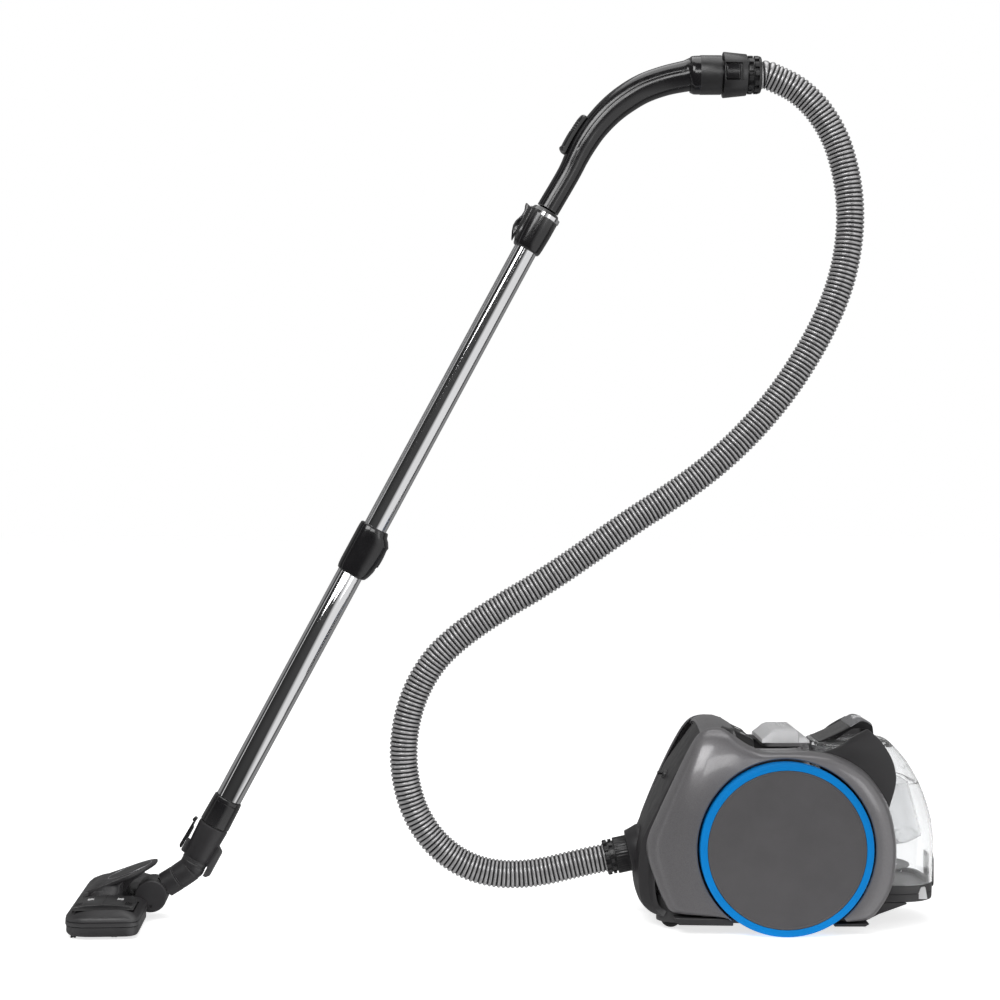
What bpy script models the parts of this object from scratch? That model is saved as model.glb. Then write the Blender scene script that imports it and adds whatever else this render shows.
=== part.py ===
"""Canister vacuum cleaner: wheeled bagless canister, ribbed hose, curved handle, telescopic wand and floor head.

Frame: metres, +Z up, floor at z = 0. The canister stands at +X, the floor head at -X, the
whole machine's mid plane is y = 0 and -Y is its right-hand side.
"""
import math

import bmesh
import bpy
import numpy as np
from mathutils import Matrix, Vector

# ---------------------------------------------------------------- driving dimensions
GAP = 0.0004                    # running gap between neighbouring pieces
WALL = 0.003                    # moulded wall
AXLE_X = 0.3653                 # main axle, measured from the frame's origin
WHEEL_R = 0.1118
AXLE_Z = WHEEL_R
ARCH_R = 0.1150                 # wheel arch in the side shells
TYRE_WIDTH = 0.024
WHEEL_FACE_Y = 0.1360           # outer face of a wheel, from the mid plane
TUB_HALF = 0.0950               # half width of the lower casing
SHELL_IN_Y = 0.0970             # inner rim of a side shell
SHELL_OUT_Y = 0.1280
DECK_Z = 0.2400                 # flat top between the shells
SPLIT_Z = 0.1500                # joint between lower and upper casing
BULKHEAD_X = 0.0420             # casing's rear wall, in front of the dust container
TOP_CROWN = 0.0085              # the casing's top falls this much from its middle to its sides
DIAL_X = -0.0840                # power dial, from the axle
CASTER = (-0.1360, 0.0620)      # caster pivot: x from the axle, y to each side
CASTER_R = 0.0140
CASTER_TRAIL = 0.0080
SOCKET_ANGLE = math.radians(12.0)
SOCKET_FACE = (-0.1915, 0.0872)  # x from the axle, z
HOSE_D = 0.0380
WAND_ANGLE = math.radians(61.57)
WAND_POINT = Vector((0.0039, 0.0, 0.8473))   # a point on the wand's axis
INNER_TUBE_R = 0.0160
OUTER_TUBE_R = 0.0176
HEAD_PIVOT = Vector((-0.4710, 0.0, 0.0320))   # tilt axis of the floor head
HEAD_YAW = math.radians(4.0)
HEAD_HALF = 0.1480
HEAD_FRONT = -0.1000            # from the pivot
HEAD_REAR = -0.0040

AXLE = Vector((AXLE_X, 0.0, AXLE_Z))
WAND_DOWN = Vector((-math.cos(WAND_ANGLE), 0.0, -math.sin(WAND_ANGLE)))
WAND_OUT = Vector((math.sin(WAND_ANGLE), 0.0, -math.cos(WAND_ANGLE)))  # across the wand, right and down
SOCKET_AXIS = Vector((math.cos(SOCKET_ANGLE), 0.0, math.sin(SOCKET_ANGLE)))
SOCKET_POINT = Vector((AXLE_X + SOCKET_FACE[0], 0.0, SOCKET_FACE[1]))
Y_AXIS = Vector((0, 1, 0))
Z_AXIS = Vector((0, 0, 1))

# side shell's outline round the axle: x from the axle, z from the floor
SHELL_OUTLINE = [
    (-0.070, 0.022), (-0.110, 0.023), (-0.142, 0.026), (-0.153, 0.040), (-0.163, 0.067),
    (-0.172, 0.097), (-0.172, 0.118), (-0.160, 0.150), (-0.143, 0.187), (-0.124, 0.226),
    (-0.110, 0.250), (-0.096, 0.2605), (-0.078, 0.2615), (-0.060, 0.2495), (-0.042, 0.2390),
    (-0.024, 0.2345), (0.020, 0.2340), (0.045, 0.2325), (0.066, 0.2280), (0.090, 0.2170),
    (0.113, 0.2000), (0.134, 0.1660), (0.144, 0.1240), (0.144, 0.0880), (0.138, 0.0580),
    (0.124, 0.0330), (0.108, 0.0180), (0.080, 0.0160),
]
# front frame's side outline at the mid plane: x from the axle, z
FRONT_OUTLINE = [
    (-0.172, 0.0180), (-0.178, 0.0240), (-0.183, 0.0350), (-0.187, 0.0580), (-0.187, 0.0900),
    (-0.184, 0.1150), (-0.177, 0.1400), (-0.162, 0.1800), (-0.148, 0.2060), (-0.130, 0.2350),
    (-0.116, 0.2560), (-0.104, 0.2680), (-0.092, 0.2720), (-0.078, 0.2690),
]
# dust container's rear silhouette: z, x from the axle
CONTAINER_REAR = [
    (0.0350, 0.2070), (0.0600, 0.2080), (0.0870, 0.2085), (0.1170, 0.2085), (0.1370, 0.2060),
    (0.1640, 0.1985), (0.1880, 0.1885), (0.2130, 0.1740), (0.2300, 0.1600), (0.2400, 0.1500),
]
CONTAINER_FRONT_X = 0.0460
CONTAINER_HALF = 0.0790
# the hose's free route between the two cuffs: x, z
HOSE_ROUTE = [
    (0.3658, 1.1290), (0.3878, 1.1180), (0.4088, 1.1040), (0.4413, 1.0614),
    (0.4598, 1.0111), (0.4678, 0.9579), (0.4656, 0.9042), (0.4543, 0.8516), (0.4345, 0.8016),
    (0.4089, 0.7543), (0.3793, 0.7094), (0.3454, 0.6676), (0.3078, 0.6290), (0.2667, 0.5944),
    (0.2228, 0.5633), (0.1776, 0.5340), (0.1333, 0.5035), (0.0890, 0.4728), (0.0439, 0.4434),
    (-0.0023, 0.4158), (-0.0468, 0.3856), (-0.0870, 0.3499), (-0.1154, 0.3044),
    (-0.1304, 0.2528), (-0.1318, 0.1991), (-0.1193, 0.1469), (-0.0909, 0.1015),
    (-0.0479, 0.0697), (0.0041, 0.0574), (0.0576, 0.0618), (0.0958, 0.0706),
    (0.1177, 0.0754),
]
# the handle's centre line from the hose end to the wand: x, z, outer radius
HANDLE_PATH = [
    (0.2963, 1.1330, 0.0258), (0.2628, 1.1328, 0.0258), (0.2588, 1.1326, 0.0215),
    (0.2478, 1.1318, 0.0208), (0.2190, 1.1255, 0.0200), (0.1897, 1.1150, 0.0198),
    (0.1648, 1.1002, 0.0195), (0.1439, 1.0833, 0.0188), (0.1247, 1.0622, 0.0180),
    (0.1106, 1.0418, 0.0175), (0.0999, 1.0222, 0.0165), (0.0883, 0.9985, 0.0156),
    (0.0611, 0.9520, 0.0156),
]

COLOURS = {                     # colour, roughness, metallic, alpha
    "grey_lacquer": ((0.16, 0.155, 0.16), 0.25, 0.3, 1.0),
    "dark_plastic": ((0.05, 0.048, 0.05), 0.45, 0.0, 1.0),
    "black_gloss": ((0.02, 0.019, 0.021), 0.18, 0.0, 1.0),
    "black_soft": ((0.03, 0.029, 0.031), 0.6, 0.0, 1.0),
    "wheel_grey": ((0.10, 0.098, 0.10), 0.5, 0.0, 1.0),
    "tyre_blue": ((0.01, 0.21, 0.60), 0.5, 0.0, 1.0),
    "caster_rubber": ((0.02, 0.02, 0.02), 0.7, 0.0, 1.0),
    "clear_smoke": ((0.55, 0.56, 0.57), 0.08, 0.0, 0.4),
    "light_clear": ((0.72, 0.72, 0.73), 0.2, 0.0, 0.6),
    "chrome": ((0.80, 0.80, 0.81), 0.12, 1.0, 1.0),
    "steel": ((0.60, 0.60, 0.62), 0.3, 1.0, 1.0),
    "hose_silver": ((0.36, 0.36, 0.37), 0.45, 0.2, 1.0),
    "filter_white": ((0.75, 0.75, 0.72), 0.9, 0.0, 1.0),
    "motor_dark": ((0.12, 0.12, 0.13), 0.6, 0.2, 1.0),
    "bristle": ((0.03, 0.03, 0.03), 0.9, 0.0, 1.0),
}


# ---------------------------------------------------------------- modelling helpers
def clear_scene():
    for obj in list(bpy.data.objects):
        bpy.data.objects.remove(obj, do_unlink=True)


def material(slot):
    found = bpy.data.materials.get(slot)
    if found:
        return found
    colour, roughness, metallic, alpha = COLOURS[slot]
    made = bpy.data.materials.new(slot)
    made.use_nodes = True
    shader = made.node_tree.nodes["Principled BSDF"]
    shader.inputs["Base Color"].default_value = (*colour, 1.0)
    shader.inputs["Roughness"].default_value = roughness
    shader.inputs["Metallic"].default_value = metallic
    shader.inputs["Alpha"].default_value = alpha
    return made


def mesh_object(name, slot, verts, faces):
    """A closed mesh object with its faces turned outwards."""
    mesh = bpy.data.meshes.new(name)
    mesh.from_pydata([tuple(v) for v in verts], [], faces)
    bm = bmesh.new()
    bm.from_mesh(mesh)
    bmesh.ops.recalc_face_normals(bm, faces=bm.faces)
    bm.to_mesh(mesh)
    bm.free()
    mesh.shade_smooth()
    mesh.set_sharp_from_angle(angle=math.radians(35))
    obj = bpy.data.objects.new(name, mesh)
    obj.data.materials.append(material(slot))
    bpy.context.scene.collection.objects.link(obj)
    return obj


def ring_faces(rings, size, closed_ends):
    """Quads between rings of equal size; the last ring meets the first when closed_ends is false."""
    faces = []
    spans = rings - 1 if closed_ends else rings
    for i in range(spans):
        a = i * size
        b = ((i + 1) % rings) * size
        for j in range(size):
            k = (j + 1) % size
            faces.append((a + j, a + k, b + k, b + j))
    if closed_ends:
        faces.append(tuple(range(size)))
        faces.append(tuple((rings - 1) * size + j for j in range(size)))
    return faces


def loft(name, slot, rings, closed_ends=True):
    """Skin through rings of points; closed_ends caps both ends, otherwise the skin returns to its start."""
    size = len(rings[0])
    verts = [v for ring in rings for v in ring]
    return mesh_object(name, slot, verts, ring_faces(len(rings), size, closed_ends))


def frame_on(axis):
    """Two unit vectors across an axis."""
    axis = Vector(axis).normalized()
    side = Y_AXIS if abs(axis.y) < 0.9 else Vector((1, 0, 0))
    u = axis.cross(side).normalized()
    return u, axis.cross(u).normalized()


def circle(centre, axis, radius, steps):
    u, v = frame_on(axis)
    turn = 2 * math.pi / steps
    return [
        Vector(centre) + radius * (math.cos(turn * i) * u + math.sin(turn * i) * v)
        for i in range(steps)
    ]


def turned(name, slot, centre, axis, profile, steps=18, solid=True):
    """A body turned about an axis from (distance along, radius) points.

    A solid one has flat round ends; otherwise the profile is a closed loop, so the body has a bore.
    """
    axis = Vector(axis).normalized()
    rings = [circle(Vector(centre) + axis * t, axis, r, steps) for t, r in profile]
    return loft(name, slot, rings, closed_ends=solid)


def sleeve(name, slot, centre, axis, start, end, outer, inner, steps=20):
    """A plain tube from start to end along an axis."""
    profile = [(start, outer), (end, outer), (end, inner), (start, inner)]
    return turned(name, slot, centre, axis, profile, steps, solid=False)


def prism(name, slot, outline, y0, y1):
    """An (x, z) outline extruded from y0 to y1."""
    rings = [[Vector((x, y, z)) for x, z in outline] for y in (y0, y1)]
    return loft(name, slot, rings)


def box(name, slot, low, high, bevel=0.0):
    """A box, with its edges bevelled when asked."""
    corners = [(low[0], low[2]), (high[0], low[2]), (high[0], high[2]), (low[0], high[2])]
    obj = prism(name, slot, corners, low[1], high[1])
    if bevel:
        bm = bmesh.new()
        bm.from_mesh(obj.data)
        bmesh.ops.bevel(
            bm, geom=list(bm.edges), offset=bevel, segments=2, profile=0.5, affect="EDGES"
        )
        bm.to_mesh(obj.data)
        bm.free()
    return obj


def pipe(name, slot, points, outer, inner, steps=20):
    """A tube with a bore along a path in an upright plane; radii are numbers or one for each point."""
    points = [Vector(p) for p in points]
    outers = outer if isinstance(outer, list) else [outer] * len(points)
    inners = inner if isinstance(inner, list) else [inner] * len(points)
    tangents = []
    for i in range(len(points)):
        before = points[max(0, i - 1)]
        after = points[min(len(points) - 1, i + 1)]
        tangents.append((after - before).normalized())
    out = [circle(p, t, r, steps) for p, t, r in zip(points, tangents, outers)]
    back = [circle(p, t, r, steps) for p, t, r in zip(points, tangents, inners)]
    return loft(name, slot, out + back[::-1], closed_ends=False)


def smooth_curve(points, per_span):
    """Points along a Catmull-Rom curve through the given ones."""
    pts = [np.array(p, float) for p in points]
    pts = [2 * pts[0] - pts[1], *pts, 2 * pts[-1] - pts[-2]]
    out = []
    for i in range(1, len(pts) - 2):
        a, b, c, d = pts[i - 1 : i + 3]
        for k in range(per_span):
            t = k / per_span
            out.append(
                0.5 * (2 * b + (c - a) * t + (2 * a - 5 * b + 4 * c - d) * t**2
                       + (3 * b - a - 3 * c + d) * t**3)
            )
    out.append(pts[-2])
    return out


def evenly(points, count):
    """Points spaced evenly along a polyline."""
    pts = np.array(points)
    run = np.r_[0, np.cumsum(np.linalg.norm(np.diff(pts, axis=0), axis=1))]
    want = np.linspace(0, run[-1], count)
    return np.stack([np.interp(want, run, pts[:, i]) for i in range(pts.shape[1])], axis=1)


def combine(target, tool, operation):
    """Applies a Boolean of target with tool, and removes the tool."""
    step = target.modifiers.new("combine", "BOOLEAN")
    step.operation = operation
    step.solver = "EXACT"
    step.object = tool
    view = bpy.context.evaluated_depsgraph_get()
    view.update()
    result = bpy.data.meshes.new_from_object(target.evaluated_get(view))
    target.modifiers.remove(step)
    target.data = result
    bpy.data.objects.remove(tool, do_unlink=True)
    return target


def cut(target, tool):
    return combine(target, tool, "DIFFERENCE")


def join(target, tool):
    return combine(target, tool, "UNION")


def at(x, y, z):
    """A point given from the main axle's x."""
    return Vector((AXLE_X + x, y, z))


def narrowing(x, z):
    """How much narrower the casing is towards its top and its nose (1 where it is full width)."""
    top = 0.20 * (max(0.0, z - SPLIT_Z) / 0.12) ** 2
    nose = 0.22 * (max(0.0, -0.105 - x) / 0.08) ** 2
    return (1 - top) * (1 - nose)


def narrow(obj, strength=1.0):
    """Draws an object's points towards the mid plane as the casing narrows."""
    for vert in obj.data.vertices:
        factor = narrowing(vert.co.x - AXLE_X, vert.co.z)
        vert.co.y *= 1 - strength * (1 - factor)
    return obj


def plan_ring(x0, x1, half, z, power=5.0, steps=24):
    """A rounded rectangle in plan, at height z, with x measured from the axle."""
    centre = (x0 + x1) / 2
    reach = (x1 - x0) / 2
    ring = []
    for i in range(steps):
        turn = 2 * math.pi * (i + 0.5) / steps
        c, s = math.cos(turn), math.sin(turn)
        x = centre + reach * math.copysign(abs(c) ** (2 / power), c)
        y = half * math.copysign(abs(s) ** (2 / power), s)
        ring.append(at(x, y, z))
    return ring


def cup(name, slot, levels, wall, floor_z, power=5.0, steps=24):
    """A vessel from (z, x0, x1, half width) levels; its closed end is at the first level."""
    outer = [plan_ring(x0, x1, half, z, power, steps) for z, x0, x1, half in levels]
    inner = []
    for i, (z, x0, x1, half) in enumerate(levels):
        height = floor_z if i == 0 else z
        inner.append(plan_ring(x0 + wall, x1 - wall, half - wall, height, power, steps))
    return loft(name, slot, outer + inner[::-1])


def on_wand(along, across=0.0, side=0.0):
    """A point along the wand from its reference point, across it and to its side."""
    return WAND_POINT + WAND_DOWN * along + WAND_OUT * across + Y_AXIS * side


def wand_place(along, face):
    """Places a piece on the wand: its x runs down the wand and its z points across it, lower side for face 1."""
    turn = Matrix((WAND_DOWN, Y_AXIS * face, WAND_OUT * face)).transposed().to_4x4()
    return Matrix.Translation(on_wand(along)) @ turn


def in_head(x, y, z):
    """A point of the floor head, from its pivot and the floor, turned with the head."""
    turned_by = Matrix.Rotation(HEAD_YAW, 3, "Z")
    spot = turned_by @ Vector((x, y, 0.0))
    return Vector((HEAD_PIVOT.x + spot.x, HEAD_PIVOT.y + spot.y, z))


def yawed(obj):
    """Turns an object modelled square to the frame with the head, about the pivot."""
    about = Matrix.Translation((HEAD_PIVOT.x, HEAD_PIVOT.y, 0))
    obj.data.transform(about @ Matrix.Rotation(HEAD_YAW, 4, "Z") @ about.inverted())
    return obj


def sides():
    """The right side (-Y) and the left side (+Y)."""
    return (("right", -1.0), ("left", 1.0))


# ---------------------------------------------------------------- canister casing
def cord_gland():
    """Where the mains cord runs out of the lower casing, beside the dust container."""
    return at(0.0110, 0.0830, 0.0600)


def base_tub():
    """Lower casing with the platform under the dust container, caster wells and axle bosses."""
    tub = cup(
        "base_tub", "dark_plastic",
        [(0.0080, -0.142, BULKHEAD_X - 0.006, 0.084), (0.0140, -0.150, BULKHEAD_X - 0.002, 0.091),
         (0.0400, -0.158, BULKHEAD_X, TUB_HALF), (SPLIT_Z - GAP, -0.150, BULKHEAD_X, TUB_HALF)],
        WALL, 0.0110,
    )
    platform = prism(
        "platform", "dark_plastic",
        [(AXLE_X + 0.030, 0.0080), (AXLE_X + 0.148, 0.0080), (AXLE_X + 0.186, 0.0270),
         (AXLE_X + 0.186, 0.0335), (AXLE_X + 0.030, 0.0335)], -0.078, 0.078,
    )
    hollow = box("hollow", "dark_plastic", at(0.045, -0.074, -0.001), at(0.150, 0.074, 0.0295))
    cut(platform, hollow)
    join(tub, platform)
    for _, side in sides():
        well_at = at(CASTER[0], side * CASTER[1], 0.0)
        join(tub, turned("well", "dark_plastic", well_at, Z_AXIS, [(0.0100, 0.0270), (0.0440, 0.0270)]))
    for _, side in sides():
        well_at = at(CASTER[0], side * CASTER[1], 0.0)
        cut(tub, turned("bore", "dark_plastic", well_at, Z_AXIS, [(-0.001, 0.0240), (0.0380, 0.0240)]))
        cut(tub, turned("pin", "dark_plastic", well_at, Z_AXIS, [(0.03, 0.0032), (0.05, 0.0032)], 16))
        hole = turned("hole", "dark_plastic", AXLE, Y_AXIS * side, [(0.08, 0.0062), (0.11, 0.0062)], 24)
        cut(tub, hole)
    mouth = turned("mouth", "dark_plastic", SOCKET_POINT, SOCKET_AXIS, [(0.0, 0.0334), (0.065, 0.0334)], 28)
    cut(tub, mouth)
    join(tub, turned("boss", "dark_plastic", cord_gland(), (1, 0, 0), [(0.0, 0.0085), (0.0300, 0.0085)], 16))
    return cut(tub, turned("way", "dark_plastic", cord_gland(), (1, 0, 0), [(-0.01, 0.0062), (0.04, 0.0062)], 16))


def polar_outline(angles):
    """The side shell's distance from the axle at each angle."""
    curve = np.array(smooth_curve(SHELL_OUTLINE, 6))
    turn = np.unwrap(np.arctan2(curve[:, 1] - AXLE_Z, curve[:, 0]))[::-1]
    reach = np.hypot(curve[:, 0], curve[:, 1] - AXLE_Z)[::-1]
    return np.interp(angles, turn, reach), turn[0], turn[-1]


def side_shell(name, side):
    """A lacquered side shell: a hollow band round the wheel arch, open towards the casing."""
    _, first, last = polar_outline([0.0])
    angles = np.linspace(first, last, 32)
    reach, _, _ = polar_outline(angles)
    rings = []
    for angle, out in zip(angles, reach):
        band = out - ARCH_R
        soft = min(0.014, 0.55 * band)
        section = [
            (out, SHELL_IN_Y), (out, 0.1080), (out - 0.30 * soft, 0.1180),
            (out - soft, SHELL_OUT_Y - 0.0020), (ARCH_R + 0.15 * band, SHELL_OUT_Y),
            (ARCH_R, SHELL_OUT_Y - 0.0010), (ARCH_R, SHELL_IN_Y),
            (ARCH_R + 0.0025, SHELL_IN_Y), (ARCH_R + 0.0025, SHELL_OUT_Y - 0.0040),
            (out - soft, SHELL_OUT_Y - 0.0050), (out - 0.30 * soft - 0.0020, 0.1160),
            (out - 0.0025, 0.1080), (out - 0.0025, SHELL_IN_Y),
        ]
        rings.append([
            at(rho * math.cos(angle), side * y, AXLE_Z + rho * math.sin(angle))
            for rho, y in section
        ])
    return narrow(loft(name, "grey_lacquer", rings))


def front_frame():
    """The dark nose that wraps the front from side to side, with a round hole for the hose socket."""
    curve = evenly(smooth_curve(FRONT_OUTLINE, 4), 14)
    inward = []
    for i in range(len(curve)):
        along = curve[min(i + 1, len(curve) - 1)] - curve[max(i - 1, 0)]
        along = along / np.linalg.norm(along)
        inward.append(np.array([along[1], -along[0]]))
    rings = []
    for share in (-1, -0.93, -0.9, -0.8, -0.55, -0.25, 0.25, 0.55, 0.8, 0.9, 0.93, 1):
        depth = 0.0080 if abs(share) > 0.91 else 0.004
        inner = [point + depth * way for point, way in zip(curve, inward)]
        back = 0.012 * abs(share) ** 4
        ring = []
        for x, z in [*curve, *inner[::-1]]:
            crown = TOP_CROWN * share**2 * max(0.0, (z - 0.20) / 0.07)
            ring.append(at(x + back, 0.0945 * share, z - crown))
        rings.append(ring)
    frame = narrow(loft("front_frame", "dark_plastic", rings))
    hole = turned("hole", "dark_plastic", SOCKET_POINT, SOCKET_AXIS, [(-0.03, 0.0335), (0.05, 0.0335)])
    return cut(frame, hole)


def top_deck():
    """Upper casing: closes the motor space and carries the controls."""
    levels = [
        (DECK_Z, -0.092, BULKHEAD_X - 0.004, 0.0720), (DECK_Z - 0.004, -0.101, BULKHEAD_X, 0.0770),
        (0.2200, -0.113, BULKHEAD_X, 0.0840), (0.1850, -0.134, BULKHEAD_X, 0.0915),
        (SPLIT_Z + GAP, -0.150, BULKHEAD_X, TUB_HALF),
    ]
    deck = cup("top_deck", "grey_lacquer", levels, WALL, DECK_Z - WALL)
    for centre_y in (-0.031, 0.031):
        low = at(-0.0710, centre_y - 0.0265, 0.225)
        high = at(-0.0330, centre_y + 0.0265, 0.245)
        cut(deck, box("pocket", "dark_plastic", low, high))
    cut(deck, turned("dial_hole", "dark_plastic", at(DIAL_X, 0, 0), Z_AXIS, [(0.22, 0.0066), (0.25, 0.0066)]))
    port = turned("port", "dark_plastic", at(BULKHEAD_X, 0, 0.195), (1, 0, 0), [(-0.02, 0.0230), (0.02, 0.0230)])
    return cut(deck, port)


def foot_button(name, side):
    """A sloped foot button on the deck: rewind on the right, power on the left."""
    outline = [
        (-0.0705, 0.2300), (-0.0335, 0.2300), (-0.0335, 0.2430), (-0.0370, 0.2475),
        (-0.0620, 0.2600), (-0.0670, 0.2610), (-0.0705, 0.2580),
    ]
    y = side * 0.031
    points = [(AXLE_X + x, z) for x, z in outline]
    return prism(name, "black_soft", points, y - 0.0260, y + 0.0260)


def power_dial():
    profile = [(0.2340, 0.0060), (0.2406, 0.0060), (0.2406, 0.0104), (0.2480, 0.0100), (0.2500, 0.0085)]
    dial = turned("power_dial", "black_gloss", at(DIAL_X, 0, 0), Z_AXIS, profile)
    rib = box("rib", "black_gloss", at(DIAL_X - 0.0090, -0.0014, 0.2470), at(DIAL_X + 0.0090, 0.0014, 0.2530))
    return join(dial, rib)


def filter_cover():
    """The pale translucent hump over the motor filter."""
    outline = [
        (-0.0230, 0.2406), (0.0400, 0.2406), (0.0385, 0.2470), (0.0290, 0.2560),
        (0.0230, 0.2580), (-0.0040, 0.2580), (-0.0110, 0.2545), (-0.0170, 0.2490), (-0.0230, 0.2460),
    ]
    rings = []
    for y, drop in ((-0.058, 0.6), (-0.050, 0.15), (-0.030, 0.0), (0.030, 0.0), (0.050, 0.15), (0.058, 0.6)):
        rings.append([at(x, y, 0.2406 + (z - 0.2406) * (1 - drop)) for x, z in outline])
    cover = loft("filter_cover", "light_clear", rings)
    return cut(cover, box("under", "light_clear", at(-0.018, -0.045, 0.239), at(0.034, 0.045, 0.2462)))


def cheek_panel(name, side):
    """A dark guide panel beside the dust container, behind the side shell."""
    outline = [
        (0.0500, 0.1300), (0.1310, 0.1300), (0.1405, 0.1613), (0.1477, 0.1861), (0.1484, 0.2031),
        (0.1431, 0.2233), (0.1308, 0.2436), (0.1220, 0.2530), (0.1120, 0.2612), (0.1050, 0.2590),
        (0.0980, 0.2555), (0.0880, 0.2495), (0.0760, 0.2405), (0.0600, 0.2340), (0.0500, 0.2320),
    ]
    points = [(AXLE_X + x, z) for x, z in outline]
    panel = prism(name, "dark_plastic", points, side * 0.0812, side * 0.0852)
    return panel


# ---------------------------------------------------------------- inside the canister
def hose_socket():
    profile = [
        (0.0000, 0.0280), (0.0040, 0.0290), (0.0100, 0.0310), (0.0280, 0.0328), (0.0480, 0.0328),
        (0.0480, 0.0215), (0.0000, 0.0215),
    ]
    return turned("hose_socket", "dark_plastic", SOCKET_POINT, SOCKET_AXIS, profile, 20, solid=False)


def inlet_duct():
    """Air duct from the hose socket, over the motor, to the dust container."""
    start = SOCKET_POINT + SOCKET_AXIS * (0.0480 + GAP)
    route = [
        (start.x - AXLE_X, start.z), (start.x - AXLE_X + 0.0100, start.z + 0.0021), (-0.118, 0.122), (-0.094, 0.156),
        (-0.062, 0.181), (-0.030, 0.192), (0.005, 0.195), (BULKHEAD_X + 0.0030, 0.195),
    ]
    points = [at(x, 0, z) for x, z in smooth_curve(route, 2)]
    return pipe("inlet_duct", "dark_plastic", points, 0.0205, 0.0182, 10)


MOTOR_CENTRE = (-0.045, 0.0780)
REEL_CENTRE = (-0.052, 0.0980)


def motor():
    """Fan motor lying across the casing: housing, stator, armature, impeller and cover."""
    centre = at(MOTOR_CENTRE[0], 0, MOTOR_CENTRE[1])
    turned("motor_housing", "motor_dark", centre, Y_AXIS,
           [(-0.0360, 0.012), (-0.0360, 0.0540), (0.0740, 0.0540), (0.0740, 0.0510),
            (-0.0330, 0.0510), (-0.0330, 0.012)], 18, solid=False)
    sleeve("motor_stator", "steel", centre, Y_AXIS, -0.0220, 0.0330, 0.0500, 0.0310, 20)
    turned("motor_armature", "steel", centre, Y_AXIS,
           [(-0.0340, 0.0040), (-0.0250, 0.0040), (-0.0250, 0.0120), (-0.0200, 0.0300),
            (0.0300, 0.0300), (0.0340, 0.0120), (0.0400, 0.0050), (0.0430, 0.0050)], 24)
    fan = turned("fan_impeller", "steel", centre, Y_AXIS,
                 [(0.0434, 0.0460), (0.0450, 0.0460), (0.0520, 0.0140), (0.0560, 0.0120)], 20)
    for i in range(7):
        blade = box("blade", "steel", (0.012, 0.0440, -0.0012), (0.0440, 0.0560, 0.0012))
        spin = Matrix.Translation(centre) @ Matrix.Rotation(2 * math.pi * i / 7, 4, "Y")
        blade.data.transform(spin)
        join(fan, blade)
    turned("fan_cover", "motor_dark", centre, Y_AXIS,
           [(0.0600, 0.0505), (0.0630, 0.0505), (0.0630, 0.0180), (0.0600, 0.0180)], 18, solid=False)


def cable_reel():
    """The mains cord's spring reel, empty: the cord itself isn't part of this model."""
    centre = at(REEL_CENTRE[0], 0, REEL_CENTRE[1])
    profile = [
        (-0.0780, 0.0600), (-0.0760, 0.0600), (-0.0760, 0.0280), (-0.0460, 0.0280),
        (-0.0460, 0.0600), (-0.0440, 0.0600), (-0.0440, 0.0060), (-0.0780, 0.0060),
    ]
    return turned("cable_reel", "dark_plastic", centre, Y_AXIS, profile, 18, solid=False)


def exhaust_filter():
    return box("exhaust_filter", "filter_white", at(-0.110, 0.0270, 0.1550), at(0.0300, 0.0720, 0.1750), 0.002)


def cord_outlet():
    """Bush in the lower casing's rear wall that the mains cord runs out of."""
    return sleeve("cord_outlet", "black_soft", cord_gland(), (1, 0, 0), 0.0, 0.0330, 0.0058, 0.0036, 16)


# ---------------------------------------------------------------- wheels
def wheel(side_name, side):
    """Disc, tyre and axle of one big wheel."""
    inner_y = WHEEL_FACE_Y - TYRE_WIDTH
    rim = WHEEL_R - 0.0098
    turned(f"wheel_disc_{side_name}", "wheel_grey", AXLE, Y_AXIS * side,
           [(WHEEL_FACE_Y - 0.0056, 0.0064), (inner_y - 0.006, 0.0064), (inner_y - 0.006, 0.0140),
            (WHEEL_FACE_Y - 0.0090, 0.0180), (WHEEL_FACE_Y - 0.0070, rim - 0.0040),
            (inner_y + 0.001, rim - 0.0040), (inner_y + 0.001, rim),
            (WHEEL_FACE_Y - 0.0022, rim), (WHEEL_FACE_Y - 0.0012, rim - 0.0012),
            (WHEEL_FACE_Y - 0.0020, rim - 0.0040), (WHEEL_FACE_Y - 0.0020, 0.0300)], 32)
    turned(f"wheel_tyre_{side_name}", "tyre_blue", AXLE, Y_AXIS * side,
           [(inner_y, rim + GAP), (inner_y, WHEEL_R - 0.0015), (inner_y + 0.0015, WHEEL_R),
            (WHEEL_FACE_Y - 0.0025, WHEEL_R), (WHEEL_FACE_Y - 0.0004, WHEEL_R - 0.0030),
            (WHEEL_FACE_Y, rim + 0.0030), (WHEEL_FACE_Y - 0.0010, rim + GAP)],
           32, solid=False)
    turned(f"wheel_axle_{side_name}", "steel", AXLE, Y_AXIS * side,
           [(0.0790, 0.0100), (0.0875, 0.0100), (0.0875, 0.0060), (WHEEL_FACE_Y - 0.0060, 0.0060)], 24)


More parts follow.
